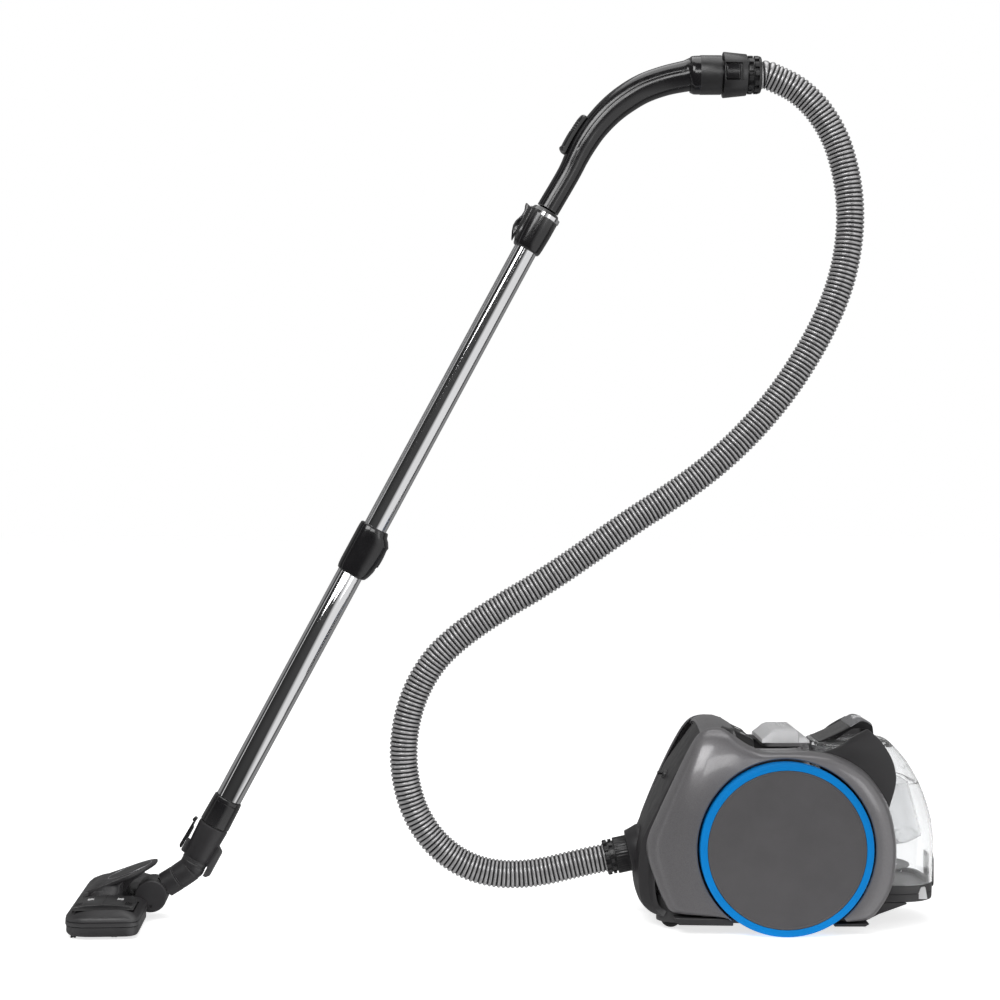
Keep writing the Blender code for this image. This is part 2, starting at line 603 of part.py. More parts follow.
def caster(side_name, side):
    """Swivel fork with its small wheel, under the nose."""
    pivot = at(CASTER[0], side * CASTER[1], 0.0)
    hub = pivot + Vector((-CASTER_TRAIL, 0, CASTER_R))
    fork = turned(f"caster_fork_{side_name}", "dark_plastic", pivot, Z_AXIS,
                  [(0.0300, 0.0190), (0.0360, 0.0190), (0.0365, 0.0029), (0.0480, 0.0029)], 16)
    for cheek in (-1, 1):
        y = hub.y + cheek * 0.0100
        low = (hub.x - 0.0060, y - 0.0016, CASTER_R - 0.0060)
        high = (hub.x + 0.0110, y + 0.0016, 0.0310)
        join(fork, box("cheek", "dark_plastic", low, high))
    pin = turned("pin", "steel", hub, Y_AXIS, [(-0.0110, 0.0022), (0.0110, 0.0022)], 16)
    join(fork, pin)
    turned(f"caster_wheel_{side_name}", "caster_rubber", hub, Y_AXIS,
           [(-0.0070, 0.0026), (-0.0070, CASTER_R - 0.0020), (-0.0050, CASTER_R),
            (0.0050, CASTER_R), (0.0070, CASTER_R - 0.0020), (0.0070, 0.0026)], 16, solid=False)


# ---------------------------------------------------------------- dust container
def rear_x(z):
    heights, reach = zip(*CONTAINER_REAR)
    return float(np.interp(z, heights, reach))


def container_ring(z, inset=0.0, half=CONTAINER_HALF):
    front = CONTAINER_FRONT_X + inset
    return plan_ring(front, rear_x(z) - inset, half - inset, z, 3.2, 20)


def dust_container():
    """The clear bin's wall, open at its top and at its foot."""
    heights = (0.0560, 0.0870, 0.1170, 0.1370, 0.1500, 0.1640, 0.1870)
    outer = [container_ring(z) for z in heights]
    inner = [container_ring(z, 0.0025) for z in heights]
    bin_wall = loft("dust_container", "clear_smoke", outer + inner[::-1], closed_ends=False)
    notch = turned("port", "clear_smoke", at(CONTAINER_FRONT_X, 0, 0.1700), (1, 0, 0),
                   [(-0.01, 0.0130), (0.01, 0.0130)], 24)
    return cut(bin_wall, notch)


def container_lid():
    """The bin's clear hood, closed on top."""
    stack = [(0.1876, 0.0), (0.2000, 0.0010), (0.2130, 0.0030), (0.2260, 0.0070), (0.2350, 0.0130),
             (0.2400, 0.0220)]
    outer = [container_ring(z, 0.0, CONTAINER_HALF - drop) for z, drop in stack]
    inner = [container_ring(z, 0.0025, CONTAINER_HALF - drop) for z, drop in stack[:-1]]
    top = container_ring(0.2400, 0.0040, CONTAINER_HALF - 0.0220)
    inner.append([v - Vector((0, 0, 0.0030)) for v in top])
    lid = loft("container_lid", "clear_smoke", outer[::-1] + inner)
    port = turned("port", "clear_smoke", at(CONTAINER_FRONT_X, 0, 0.2060), (1, 0, 0),
                  [(-0.01, 0.0160), (0.01, 0.0160)], 24)
    return cut(lid, port)


def cyclone_cone():
    """Perforated cyclone body that hangs in the bin."""
    foot = at(0.1230, 0, 0)
    return turned("cyclone_cone", "black_gloss", foot, Z_AXIS,
                  [(0.0700, 0.0200), (0.0700, 0.0450), (0.0730, 0.0450), (0.0800, 0.0300),
                   (0.1600, 0.0430), (0.1860, 0.0560), (0.1860, 0.0530), (0.1600, 0.0400), (0.0800, 0.0200)],
                  18, solid=False)


def container_floor():
    """Bin's base ring and trap door."""
    outer = [container_ring(z, 0.0) for z in (0.0340, 0.0500, 0.0555)]
    inner = [container_ring(0.0555, 0.0060), container_ring(0.0500, 0.0070)]
    return loft("container_floor", "dark_plastic", outer + inner)


def floor_latch():
    """Pale latch at the back of the bin's base."""
    z0, z1 = 0.0370, 0.0640
    x = rear_x(0.05) + GAP
    return box("floor_latch", "light_clear", at(x, -0.0140, z0), at(x + 0.0050, 0.0140, z1), 0.0015)


def container_handle():
    """Carrying handle: an arch over the hood with a glossy top."""
    outer = [(0.0540, 0.2404), (0.0600, 0.2425), (0.0850, 0.2545), (0.1040, 0.2655), (0.1110, 0.2686),
             (0.1170, 0.2680), (0.1230, 0.2645), (0.1260, 0.2600), (0.1275, 0.2404)]
    under = [(0.1230, 0.2404), (0.1215, 0.2530), (0.1150, 0.2590), (0.1060, 0.2594), (0.0950, 0.2565),
             (0.0740, 0.2404)]
    rings = []
    for y, pinch in ((-0.0400, 0.35), (-0.0360, 0.0), (0.0360, 0.0), (0.0400, 0.35)):
        ring = []
        for x, z in [*outer, *under]:
            base = 0.2404
            ring.append(at(x, y, base + (z - base) * (1 - 0.06 * pinch)))
        rings.append(ring)
    handle = loft("container_handle", "black_gloss", rings)
    return cut(handle, box("slot", "black_gloss", at(0.1045, -0.0066, 0.2616), at(0.1170, 0.0066, 0.2800)))


def release_button():
    return box("release_button", "light_clear", at(0.1050, -0.0061, 0.2640), at(0.1165, 0.0061, 0.2710), 0.001)


# ---------------------------------------------------------------- hose and handle
def hose():
    """The ribbed hose, plain, along its free loop from the handle's cuff to the canister's cuff."""
    near = Vector((HANDLE_FACE_X + CUFF_REACH + GAP, 0, HANDLE_AXIS_Z))
    far = SOCKET_POINT - SOCKET_AXIS * (CUFF_LENGTH + GAP)
    lead_in = [(near.x, near.z), (near.x + HOSE_LEAD, near.z)]
    lead_out = [far - SOCKET_AXIS * HOSE_LEAD, far]
    route = [*lead_in, *evenly(smooth_curve(HOSE_ROUTE, 12), 52), *[(p.x, p.z) for p in lead_out]]
    count = len(route)
    curve = bpy.data.curves.new("hose", "CURVE")
    curve.dimensions = "3D"
    line = curve.splines.new("POLY")
    line.points.add(count - 1)
    for point, (x, z) in zip(line.points, route):
        point.co = (x, 0.0, z, 1.0)
    curve.bevel_depth = HOSE_D / 2
    curve.bevel_resolution = 2
    curve.use_fill_caps = True
    curve.materials.append(material("hose_silver"))
    obj = bpy.data.objects.new("hose", curve)
    bpy.context.scene.collection.objects.link(obj)
    return obj


CUFF_LENGTH = 0.0362
CUFF_REACH = 0.0510             # handle's cuff, from the handle's face to the hose
HOSE_LEAD = 0.0080              # straight stretch of hose at each cuff
HANDLE_FACE_X = 0.2963          # end of the handle where the hose cuff turns
HANDLE_AXIS_Z = 1.1330


def hose_cuff_canister():
    """Swivel cuff at the canister: ribbed sleeve with a spigot in the socket."""
    profile = [
        (-CUFF_LENGTH, 0.0235), (-0.0040, 0.0235), (-0.0040, 0.0270), (-0.0006, 0.0270),
        (-0.0006, 0.0211), (0.0300, 0.0211), (0.0300, 0.0175), (-CUFF_LENGTH, 0.0175),
    ]
    return turned("hose_cuff_canister", "black_soft", SOCKET_POINT, SOCKET_AXIS, profile, 18, solid=False)


def hose_cuff_handle():
    """Flared cuff at the handle, with a spigot that turns inside it."""
    start = Vector((HANDLE_FACE_X, 0, HANDLE_AXIS_Z))
    profile = [
        (-0.0250, 0.0198), (0.0004, 0.0198), (0.0004, 0.0305), (0.0320, 0.0272), (0.0320, 0.0255),
        (CUFF_REACH, 0.0250), (CUFF_REACH, 0.0172), (-0.0250, 0.0172),
    ]
    return turned("hose_cuff_handle", "black_soft", start, (1, 0, 0), profile, 18, solid=False)


def handle_tube():
    """Curved hollow handle from the hose cuff down to the wand."""
    spine = [(x, z) for x, z, _ in HANDLE_PATH]
    points = [Vector((x, 0, z)) for x, z in spine]
    outer = [r for _, _, r in HANDLE_PATH]
    inner = [r - 0.0035 for r in outer]
    inner[0] = inner[1] = 0.0210
    inner[2] = 0.0180
    tube = pipe("handle_tube", "black_soft", points, outer, inner, 12)
    window = box("window", "black_soft", (-0.0110, -0.0060, -0.0050), (0.0110, 0.0060, 0.0120))
    window.data.transform(slider_place())
    return cut(tube, window)


def slider_place():
    """Where the suction slider sits: on the upper left of the handle, along its slope."""
    a = Vector((HANDLE_PATH[8][0], 0, HANDLE_PATH[8][1]))
    b = Vector((HANDLE_PATH[10][0], 0, HANDLE_PATH[10][1]))
    along = (b - a).normalized()
    out = Vector((-abs(along.z), 0, abs(along.x))).normalized()
    centre = (a + b) / 2 + out * 0.0165
    return Matrix.Translation(centre) @ Matrix((along, -Y_AXIS, out)).transposed().to_4x4()


def suction_slider():
    """Sliding cover over the handle's air-bleed window."""
    slider = box("suction_slider", "black_gloss", (-0.0230, -0.0125, 0.0026), (0.0230, 0.0125, 0.0086), 0.002)
    slider.data.transform(slider_place())
    return slider


# ---------------------------------------------------------------- wand
COLLAR = (-0.1165, -0.0570)     # upper collar along the wand
SLEEVE = (0.3673, 0.4377)       # telescopic slider housing
LOWER_COLLAR = (0.7822, 0.8225)
LEVER_AT = -0.0840              # middle of the collar's release lever, along the wand
INNER_TUBE = (-0.1100, 0.4700)
OUTER_TUBE = (0.3800, 0.8000)


def wand_collar():
    """Fixed collar below the handle."""
    start, end = COLLAR
    body = turned("wand_collar", "black_gloss", WAND_POINT, WAND_DOWN,
                  [(start, 0.0185), (start + 0.003, 0.0215), (start + 0.030, 0.0215), (end - 0.006, 0.0195),
                   (end, 0.0180), (end, INNER_TUBE_R + GAP), (start, INNER_TUBE_R + GAP)],
                  18, solid=False)
    pocket = box("pocket", "black_gloss", (-0.0265, -0.0096, 0.0188), (0.0180, 0.0096, 0.0300))
    pocket.data.transform(wand_place(LEVER_AT, -1))
    return cut(body, pocket)


def collar_lever():
    """Release lever on the collar's upper side."""
    lever = box("collar_lever", "black_gloss", (-0.0240, -0.0090, 0.0222), (0.0240, 0.0090, 0.0300), 0.002)
    lever.data.transform(wand_place(LEVER_AT, -1))
    return lever


def telescopic_sleeve():
    """Slider housing fixed on the lower tube's top, with a thumb bulge on its lower side."""
    start, end = SLEEVE
    house = turned("telescopic_sleeve", "black_gloss", WAND_POINT, WAND_DOWN,
                   [(start, 0.0178), (start + 0.006, 0.0196), (end - 0.010, 0.0212), (end, 0.0195)], 20)
    bulge = box("bulge", "black_gloss", (-0.0300, -0.0120, 0.0100), (0.0260, 0.0120, 0.0270), 0.003)
    place = wand_place((start + end) / 2, 1)
    bulge.data.transform(place)
    join(house, bulge)
    rest = turned("bore_lower", "black_gloss", WAND_POINT, WAND_DOWN,
                  [(OUTER_TUBE[0] - GAP, OUTER_TUBE_R + GAP), (end + 0.01, OUTER_TUBE_R + GAP)])
    cut(house, rest)
    bore = turned("bore_upper", "black_gloss", WAND_POINT, WAND_DOWN,
                  [(start - 0.01, INNER_TUBE_R + GAP), (end, INNER_TUBE_R + GAP)])
    cut(house, bore)
    pocket = box("pocket", "black_gloss", (-0.0164, -0.0074, 0.0225), (0.0164, 0.0074, 0.0400))
    pocket.data.transform(place)
    return cut(house, pocket)


def telescopic_button():
    """Thumb button in the slider housing."""
    button = box("telescopic_button", "black_soft", (-0.0120, -0.0070, 0.0248), (0.0120, 0.0070, 0.0290), 0.001)
    button.data.transform(wand_place(sum(SLEEVE) / 2, 1))
    return button


def wand_collar_lower():
    start, end = LOWER_COLLAR
    return turned("wand_collar_lower", "black_gloss", WAND_POINT, WAND_DOWN,
                  [(start, 0.0186), (start + 0.004, 0.0196), (end, 0.0202),
                   (end, INNER_TUBE_R + 0.001), (OUTER_TUBE[1] + GAP, INNER_TUBE_R + 0.001),
                   (OUTER_TUBE[1] + GAP, OUTER_TUBE_R + GAP), (start, OUTER_TUBE_R + GAP)],
                  18, solid=False)


# ---------------------------------------------------------------- neck and floor head
NECK_TOP = LOWER_COLLAR[1] + GAP
NECK_END = 0.8785


def neck_connector():
    """Spigot under the lower collar with the parking hook on its back."""
    start = NECK_TOP
    body = turned("neck_connector", "dark_plastic", WAND_POINT, WAND_DOWN,
                  [(start, 0.0190), (start + 0.003, 0.0200), (NECK_END - 0.004, 0.0175), (NECK_END, 0.0175),
                   (NECK_END, 0.0140), (start - 0.0180, 0.0140), (start - 0.0180, INNER_TUBE_R),
                   (start, INNER_TUBE_R)], 18, solid=False)
    hook = [
        (0.8430, 0.0160), (0.8500, 0.0262), (0.8530, 0.0272), (0.8850, 0.0272), (0.8890, 0.0235),
        (0.8890, 0.0190), (0.8762, 0.0190), (0.8720, 0.0160),
    ]
    pad = [(0.8560, -0.0150), (0.8560, -0.0235), (0.8715, -0.0235), (0.8730, -0.0215), (0.8730, -0.0150)]
    for name, outline, half in (("hook", hook, 0.0080), ("pad", pad, 0.0070)):
        rings = [[on_wand(s, n, y) for s, n in outline] for y in (-half, half)]
        join(body, loft(name, "dark_plastic", rings))
    return body


def neck_clip():
    """Spring clip on the neck's upper side that locks it to the wand."""
    clip = box("neck_clip", "black_gloss", (-0.0225, -0.0070, 0.0244), (0.0225, 0.0070, 0.0284), 0.0012)
    clip.data.transform(wand_place(0.8475, -1))
    return clip


def neck_elbow():
    """Bent pipe from the neck's swivel down to the tilt barrel."""
    top = on_wand(NECK_END + GAP)
    route = [
        (top.x, top.z), *[(p.x, p.z) for p in (on_wand(NECK_END + 0.005), on_wand(NECK_END + 0.010))],
        (HEAD_PIVOT.x + 0.0380, 0.0560), (HEAD_PIVOT.x + 0.0290, 0.0502), (HEAD_PIVOT.x + 0.0180, 0.0435),
    ]
    points = [Vector((x, 0, z)) for x, z in smooth_curve(route, 2)]
    elbow = pipe("neck_elbow", "dark_plastic", points, 0.0172, 0.0140, 10)
    axis = Matrix.Rotation(HEAD_YAW, 3, "Z") @ Y_AXIS
    barrel = turned("barrel", "dark_plastic", HEAD_PIVOT, axis, [(-0.0270, 0.0215), (0.0270, 0.0215)], 20)
    join(elbow, barrel)
    bore = turned("bore", "dark_plastic", HEAD_PIVOT, axis, [(-0.0230, 0.0180), (0.0230, 0.0180)], 24)
    cut(elbow, bore)
    mouth = turned("mouth", "dark_plastic", HEAD_PIVOT, (-1, 0, -0.12), [(0.0, 0.0130), (0.03, 0.0130)], 24)
    cut(elbow, mouth)
    way = turned("way", "dark_plastic", HEAD_PIVOT, (0.84, 0, 0.54), [(0.0, 0.0130), (0.027, 0.0130)], 24)
    return cut(elbow, way)


def head_outline(inset=0.0):
    """The head in plan from its pivot: straight front, round ends, notched back for the barrel."""
    reach = HEAD_HALF - inset
    front = HEAD_FRONT + inset
    rear = HEAD_REAR - inset
    notch = 0.0300 + inset
    deep = -0.0285 - inset
    points = [
        (rear - 0.006, reach - 0.004), (rear, reach - 0.014), (rear, notch), (deep, notch),
        (deep, -notch), (rear, -notch), (rear, -reach + 0.014), (rear - 0.006, -reach + 0.004),
        (rear - 0.020, -reach), (front + 0.040, -reach), (front + 0.014, -reach + 0.005),
        (front + 0.003, -reach + 0.018), (front, -reach + 0.040), (front, reach - 0.040),
        (front + 0.003, reach - 0.018), (front + 0.014, reach - 0.005), (front + 0.040, reach),
        (rear - 0.020, reach),
    ]
    return points


def head_slab(name, slot, levels):
    """A stack of head outlines: (z, inset) levels."""
    rings = [[in_head(x, y, z) for x, y in head_outline(inset)] for z, inset in levels]
    return loft(name, slot, rings)


def head_box(name, slot, low, high, bevel=0.0):
    shift = Vector((HEAD_PIVOT.x, HEAD_PIVOT.y, 0))
    return yawed(box(name, slot, shift + Vector(low), shift + Vector(high), bevel))


SLOT_X = (-0.070, -0.046)       # suction slot in the sole, from the pivot


def head_sole():
    sole = head_slab("head_sole", "dark_plastic", [(0.0035, 0.004), (0.0060, 0.001), (0.0160, 0.001)])
    cut(sole, head_box("slot", "dark_plastic", (SLOT_X[0], -0.120, 0.0), (SLOT_X[1], 0.120, 0.02)))
    for x0, x1 in ((-0.0965 + 0.004, -0.0845), (-0.0405, -0.0325)):
        cut(sole, head_box("strip", "dark_plastic", (x0, -0.1304, -0.001), (x1, 0.1304, 0.0140)))
    for _, side in sides():
        cut(sole, head_box("pocket", "dark_plastic", (-0.0270, side * 0.1150 - 0.0100, -0.001),
                           (-0.0090, side * 0.1150 + 0.0100, 0.0150)))
    return sole


def cover_tongue():
    """Round-ended tongue that rises from the cover's front, with solid sides, and overhangs the barrel."""
    half, centre, front, steps = 0.0420, -0.0350, -0.0860, 12
    rings = []
    for k in range(13):
        share = math.sin(math.pi * (k / 12 - 0.5))
        end = centre + half * math.sqrt(max(0.0, 1 - share**2))
        xs = [front + (end - front) * n / steps for n in range(steps + 1)]
        above = [in_head(x, half * share, tongue_top(x)) for x in xs]
        below = [in_head(x, half * share, tongue_under(x)) for x in xs]
        rings.append(above + below[::-1])
    return loft("tongue", "dark_plastic", rings)


def tongue_top(x):
    """Height of the tongue's sloping top, x from the pivot."""
    return 0.0430 + 0.0340 * (x + 0.0860) / 0.0930


def tongue_under(x):
    """Height of the tongue's underside, solid down to the cover and arched over the barrel."""
    line = [(-0.0860, 0.0330), (-0.0340, 0.0330), (-0.0290, 0.0480), (-0.0200, 0.0560), (0.0070, 0.0700)]
    for (xa, za), (xb, zb) in zip(line, line[1:]):
        if x <= xb:
            return za + (zb - za) * (x - xa) / (xb - xa)
    return line[-1][1]


def head_cover():
    """The head's top casing, with a low front, a raised middle and the suction chamber inside."""
    cover = head_slab("head_cover", "dark_plastic",
                      [(0.0164, 0.000), (0.0260, 0.000), (0.0330, 0.007), (0.0380, 0.018)])
    hump = [
        ring_level for ring_level in (
            (0.0300, -0.088, -0.0310, 0.062), (0.0430, -0.082, -0.0320, 0.055),
            (0.0500, -0.074, -0.0340, 0.046), (0.0530, -0.066, -0.0400, 0.036))
    ]
    rings = []
    for z, x0, x1, half in hump:
        offset = HEAD_PIVOT.x - AXLE_X
        ring = plan_ring(x0 + offset, x1 + offset, half, z, 3.0, 20)
        rings.append(ring)
    join(cover, yawed(loft("hump", "dark_plastic", rings)))
    join(cover, cover_tongue())
    cut(cover, head_box("chamber", "dark_plastic", (-0.0900, -0.118, 0.0), (-0.0330, 0.118, 0.0290)))
    cut(cover, head_box("throat", "dark_plastic", (-0.0500, -0.0200, 0.010), (-0.0200, 0.0200, 0.0290)))
    low = (-0.0905, -0.1335, 0.0310)
    high = (-0.0110, -0.0665, 0.0500)
    cut(cover, head_box("pedal_bay", "dark_plastic", low, high))
    return cover


def head_pedal():
    """Two-way foot pedal on the head's right end."""
    outline = [(-0.0895, 0.0350), (-0.0120, 0.0350), (-0.0120, 0.0385), (-0.0320, 0.0420), (-0.0510, 0.0432),
               (-0.0700, 0.0420), (-0.0895, 0.0385)]
    shift = HEAD_PIVOT.x
    rings = [[Vector((shift + x, y, z)) for x, z in outline] for y in (-0.1325, -0.0675)]
    return yawed(loft("head_pedal", "black_soft", rings))


def bristle_strips():
    head_box("bristle_strip_front", "bristle", (-0.0920, -0.1300, 0.0), (-0.0850, 0.1300, 0.0085))
    head_box("bristle_strip_rear", "bristle", (-0.0400, -0.1300, 0.0), (-0.0330, 0.1300, 0.0085))


def head_roller(name, side):
    """Small roller in the sole's rear corner."""
    axis = Matrix.Rotation(HEAD_YAW, 3, "Z") @ Y_AXIS
    return turned(name, "caster_rubber", in_head(-0.0180, side * 0.1150, 0.0070), axis,
                  [(-0.0090, 0.0055), (-0.0080, 0.0070), (0.0080, 0.0070), (0.0090, 0.0055)], 20)


# ---------------------------------------------------------------- assembly
def build_canister():
    base_tub()
    for name, side in sides():
        side_shell(f"side_shell_{name}", side)
        cheek_panel(f"cheek_panel_{name}", side)
        wheel(name, side)
        caster(name, side)
    front_frame()
    top_deck()
    filter_cover()
    foot_button("rewind_button", -1.0)
    foot_button("power_button", 1.0)
    power_dial()
    hose_socket()
    inlet_duct()
    motor()
    cable_reel()
    exhaust_filter()
    cord_outlet()


def build_container():
    dust_container()
    container_lid()
    cyclone_cone()
    container_floor()
    floor_latch()
    container_handle()
    release_button()


def build_hose_and_handle():
    hose()
    hose_cuff_canister()
    hose_cuff_handle()
    handle_tube()
    suction_slider()


def build_wand():
    wand_collar()
    collar_lever()
    sleeve("wand_tube_upper", "chrome", WAND_POINT, WAND_DOWN, *INNER_TUBE, INNER_TUBE_R, INNER_TUBE_R - 0.0009)
    sleeve("wand_tube_lower", "chrome", WAND_POINT, WAND_DOWN, *OUTER_TUBE, OUTER_TUBE_R, INNER_TUBE_R + GAP)
    telescopic_sleeve()
    telescopic_button()
    wand_collar_lower()


def build_head():
    neck_connector()
    neck_clip()
    neck_elbow()
    head_sole()
    head_cover()
    head_pedal()
    bristle_strips()
    for name, side in sides():
        head_roller(f"head_roller_{name}", side)


def main():
    clear_scene()
    build_canister()
    build_container()
    build_hose_and_handle()
    build_wand()
    build_head()


main()
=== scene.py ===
"""Looks of the canister vacuum cleaner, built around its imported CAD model.

Metres, +Z up, floor at z = 0; the canister stands at +X, the floor head at -X, -Y faces the camera.
"""
import math

import bmesh
import bpy
import numpy as np
from mathutils import Matrix, Vector


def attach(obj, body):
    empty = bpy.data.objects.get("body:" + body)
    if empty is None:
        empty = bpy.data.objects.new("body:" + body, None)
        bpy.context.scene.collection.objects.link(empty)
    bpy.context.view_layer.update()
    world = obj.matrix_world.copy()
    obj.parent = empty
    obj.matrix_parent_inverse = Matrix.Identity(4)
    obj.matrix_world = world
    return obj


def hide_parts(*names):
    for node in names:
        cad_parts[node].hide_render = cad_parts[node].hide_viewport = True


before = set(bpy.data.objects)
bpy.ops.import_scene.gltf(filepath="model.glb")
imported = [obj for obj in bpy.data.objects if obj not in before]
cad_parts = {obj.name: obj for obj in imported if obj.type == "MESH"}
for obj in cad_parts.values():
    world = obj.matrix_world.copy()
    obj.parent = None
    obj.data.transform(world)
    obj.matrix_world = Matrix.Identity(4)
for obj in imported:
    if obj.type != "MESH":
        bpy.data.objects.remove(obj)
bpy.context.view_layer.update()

# ---------------------------------------------------------------- dimensions shared with the CAD
GAP = 0.0004
AXLE_X, AXLE_Z = 0.3653, 0.1118
WHEEL_R = 0.1118
WHEEL_FACE_Y = 0.1360
TYRE_WIDTH = 0.024
ARCH_R = 0.1150
SHELL_IN_Y, SHELL_OUT_Y = 0.0970, 0.1280
DECK_Z = 0.2400
SPLIT_Z = 0.1500
TUB_HALF = 0.0950
BULKHEAD_X = 0.0420
DIAL_X = -0.0840
CASTER = (-0.1360, 0.0620)
CASTER_R, CASTER_TRAIL = 0.0140, 0.0080
SOCKET_ANGLE = math.radians(12.0)
SOCKET_FACE = (-0.1915, 0.0872)
HOSE_D = 0.0380
HOSE_LEAD = 0.0080
CUFF_LENGTH, CUFF_REACH = 0.0362, 0.0510
HANDLE_FACE_X, HANDLE_AXIS_Z = 0.2963, 1.1330
WAND_ANGLE = math.radians(61.57)
WAND_POINT = Vector((0.0039, 0.0, 0.8473))
INNER_TUBE_R, OUTER_TUBE_R = 0.0160, 0.0176
COLLAR = (-0.1165, -0.0570)
SLEEVE = (0.3673, 0.4377)
LOWER_COLLAR = (0.7822, 0.8225)
INNER_TUBE = (-0.1100, 0.4700)
OUTER_TUBE = (0.3800, 0.8000)
NECK_END = 0.8785
HEAD_PIVOT = Vector((-0.4710, 0.0, 0.0320))
HEAD_YAW = math.radians(4.0)
HEAD_HALF, HEAD_FRONT, HEAD_REAR = 0.1480, -0.1000, -0.0040
CONTAINER_FRONT_X, CONTAINER_HALF = 0.0460, 0.0790

X_AXIS, Y_AXIS, Z_AXIS = Vector((1, 0, 0)), Vector((0, 1, 0)), Vector((0, 0, 1))
AXLE = Vector((AXLE_X, 0.0, AXLE_Z))
WAND_DOWN = Vector((-math.cos(WAND_ANGLE), 0.0, -math.sin(WAND_ANGLE)))
WAND_OUT = Vector((math.sin(WAND_ANGLE), 0.0, -math.cos(WAND_ANGLE)))
SOCKET_AXIS = Vector((math.cos(SOCKET_ANGLE), 0.0, math.sin(SOCKET_ANGLE)))
SOCKET_POINT = Vector((AXLE_X + SOCKET_FACE[0], 0.0, SOCKET_FACE[1]))
SIDES = (("right", -1.0), ("left", 1.0))


# ---------------------------------------------------------------- materials
class Finish:
    """A procedural material: grain, mottling, uneven gloss and worn edges over one Principled shader."""

    def __init__(self, name, colour, roughness, **values):
        self.material = bpy.data.materials.new(name)
        self.material.use_nodes = True
        self.nodes = self.material.node_tree.nodes
        self.links = self.material.node_tree.links
        self.shader = self.nodes["Principled BSDF"]
        self.place = self.nodes.new("ShaderNodeTexCoord").outputs["Object"]
        self.colour = (*colour, 1.0)
        self.shader.inputs["Base Color"].default_value = self.colour
        self.shader.inputs["Roughness"].default_value = roughness
        self.roughness = roughness
        for socket, value in values.items():
            self.shader.inputs[socket.replace("_", " ")].default_value = value

    def noise(self, scale, detail=2.0, stretch=None, turn=None):
        node = self.nodes.new("ShaderNodeTexNoise")
        node.inputs["Scale"].default_value = scale
        node.inputs["Detail"].default_value = detail
        place = self.place
        if stretch:
            mapping = self.nodes.new("ShaderNodeMapping")
            mapping.vector_type = "TEXTURE"
            mapping.inputs["Scale"].default_value = stretch
            if turn:
                mapping.inputs["Rotation"].default_value = turn
            self.links.new(place, mapping.inputs["Vector"])
            place = mapping.outputs["Vector"]
        self.links.new(place, node.inputs["Vector"])
        return node.outputs["Fac"]

    def spread(self, source, low, high, start=0.3, end=0.7):
        """Maps a 0-1 value onto low-high."""
        node = self.nodes.new("ShaderNodeMapRange")
        node.inputs["From Min"].default_value = start
        node.inputs["From Max"].default_value = end
        node.inputs["To Min"].default_value = low
        node.inputs["To Max"].default_value = high
        self.links.new(source, node.inputs["Value"])
        return node.outputs["Result"]

    def mix(self, factor, a, b):
        node = self.nodes.new("ShaderNodeMix")
        node.data_type = "RGBA"
        self.links.new(factor, node.inputs[0])
        for socket, value in ((node.inputs[6], a), (node.inputs[7], b)):
            if isinstance(value, tuple):
                socket.default_value = value
            else:
                self.links.new(value, socket)
        return node.outputs[2]

    def tone(self, scale, amount):
        """Colour that drifts a little over the surface."""
        dark = tuple(c * (1 - amount) for c in self.colour[:3]) + (1.0,)
        light = tuple(min(1.0, c * (1 + amount)) for c in self.colour[:3]) + (1.0,)
        return self.mix(self.spread(self.noise(scale), 0.0, 1.0), dark, light)

    def uneven(self, scale, amount, **where):
        """Roughness that varies over the surface."""
        source = self.noise(scale, 4.0, **where)
        low = max(0.02, self.roughness - amount)
        self.links.new(self.spread(source, low, self.roughness + amount), self.shader.inputs["Roughness"])
        return self

    def worn(self, base, wear, amount=0.6):
        """Lighter colour where the surface turns over an edge."""
        edge = self.nodes.new("ShaderNodeNewGeometry").outputs["Pointiness"]
        share = self.spread(edge, 0.0, amount, 0.53, 0.62)
        return self.mix(share, base, (*wear, 1.0))

    def bump(self, source, distance, strength=1.0):
        node = self.nodes.new("ShaderNodeBump")
        node.inputs["Distance"].default_value = distance
        node.inputs["Strength"].default_value = strength
        self.links.new(source, node.inputs["Height"])
        self.links.new(node.outputs["Normal"], self.shader.inputs["Normal"])
        return self

    def paint(self, source):
        self.links.new(source, self.shader.inputs["Base Color"])
        return self


def moulded(name, colour, roughness, grain, depth, wear, **values):
    """Moulded plastic with a fine grain."""
    finish = Finish(name, colour, roughness, **values)
    finish.paint(finish.worn(finish.tone(22, 0.05), wear))
    finish.uneven(60, 0.06)
    return finish.bump(finish.noise(grain, 3.0), depth, 0.6).material


def polished_metal(name, colour, roughness, turn=None):
    """Metal with fine lengthwise drawing lines."""
    finish = Finish(name, colour, roughness, Metallic=1.0)
    stretch = (0.35, 0.01, 0.01) if turn else (0.02, 0.02, 0.02)
    finish.paint(finish.tone(9, 0.03))
    finish.uneven(6, 0.035, stretch=stretch, turn=turn)
    return finish.bump(finish.noise(14, 3.0, stretch=stretch, turn=turn), 0.00002, 0.35).material


def lacquer():
    """Grey lacquer with fine flakes under a clear coat."""
    finish = Finish("grey_lacquer", (0.155, 0.150, 0.156), 0.34, Metallic=0.35,
                    Coat_Weight=0.55, Coat_Roughness=0.10)
    flakes = finish.nodes.new("ShaderNodeTexVoronoi")
    flakes.inputs["Scale"].default_value = 1400
    finish.links.new(finish.place, flakes.inputs["Vector"])
    base = finish.mix(finish.spread(flakes.outputs["Distance"], 0.0, 1.0, 0.1, 0.7),
                      (0.195, 0.190, 0.196, 1.0), (0.140, 0.136, 0.141, 1.0))
    finish.paint(finish.worn(base, (0.26, 0.26, 0.27), 0.4))
    finish.uneven(35, 0.04)
    return finish.bump(finish.noise(500, 2.0), 0.00003, 0.3).material


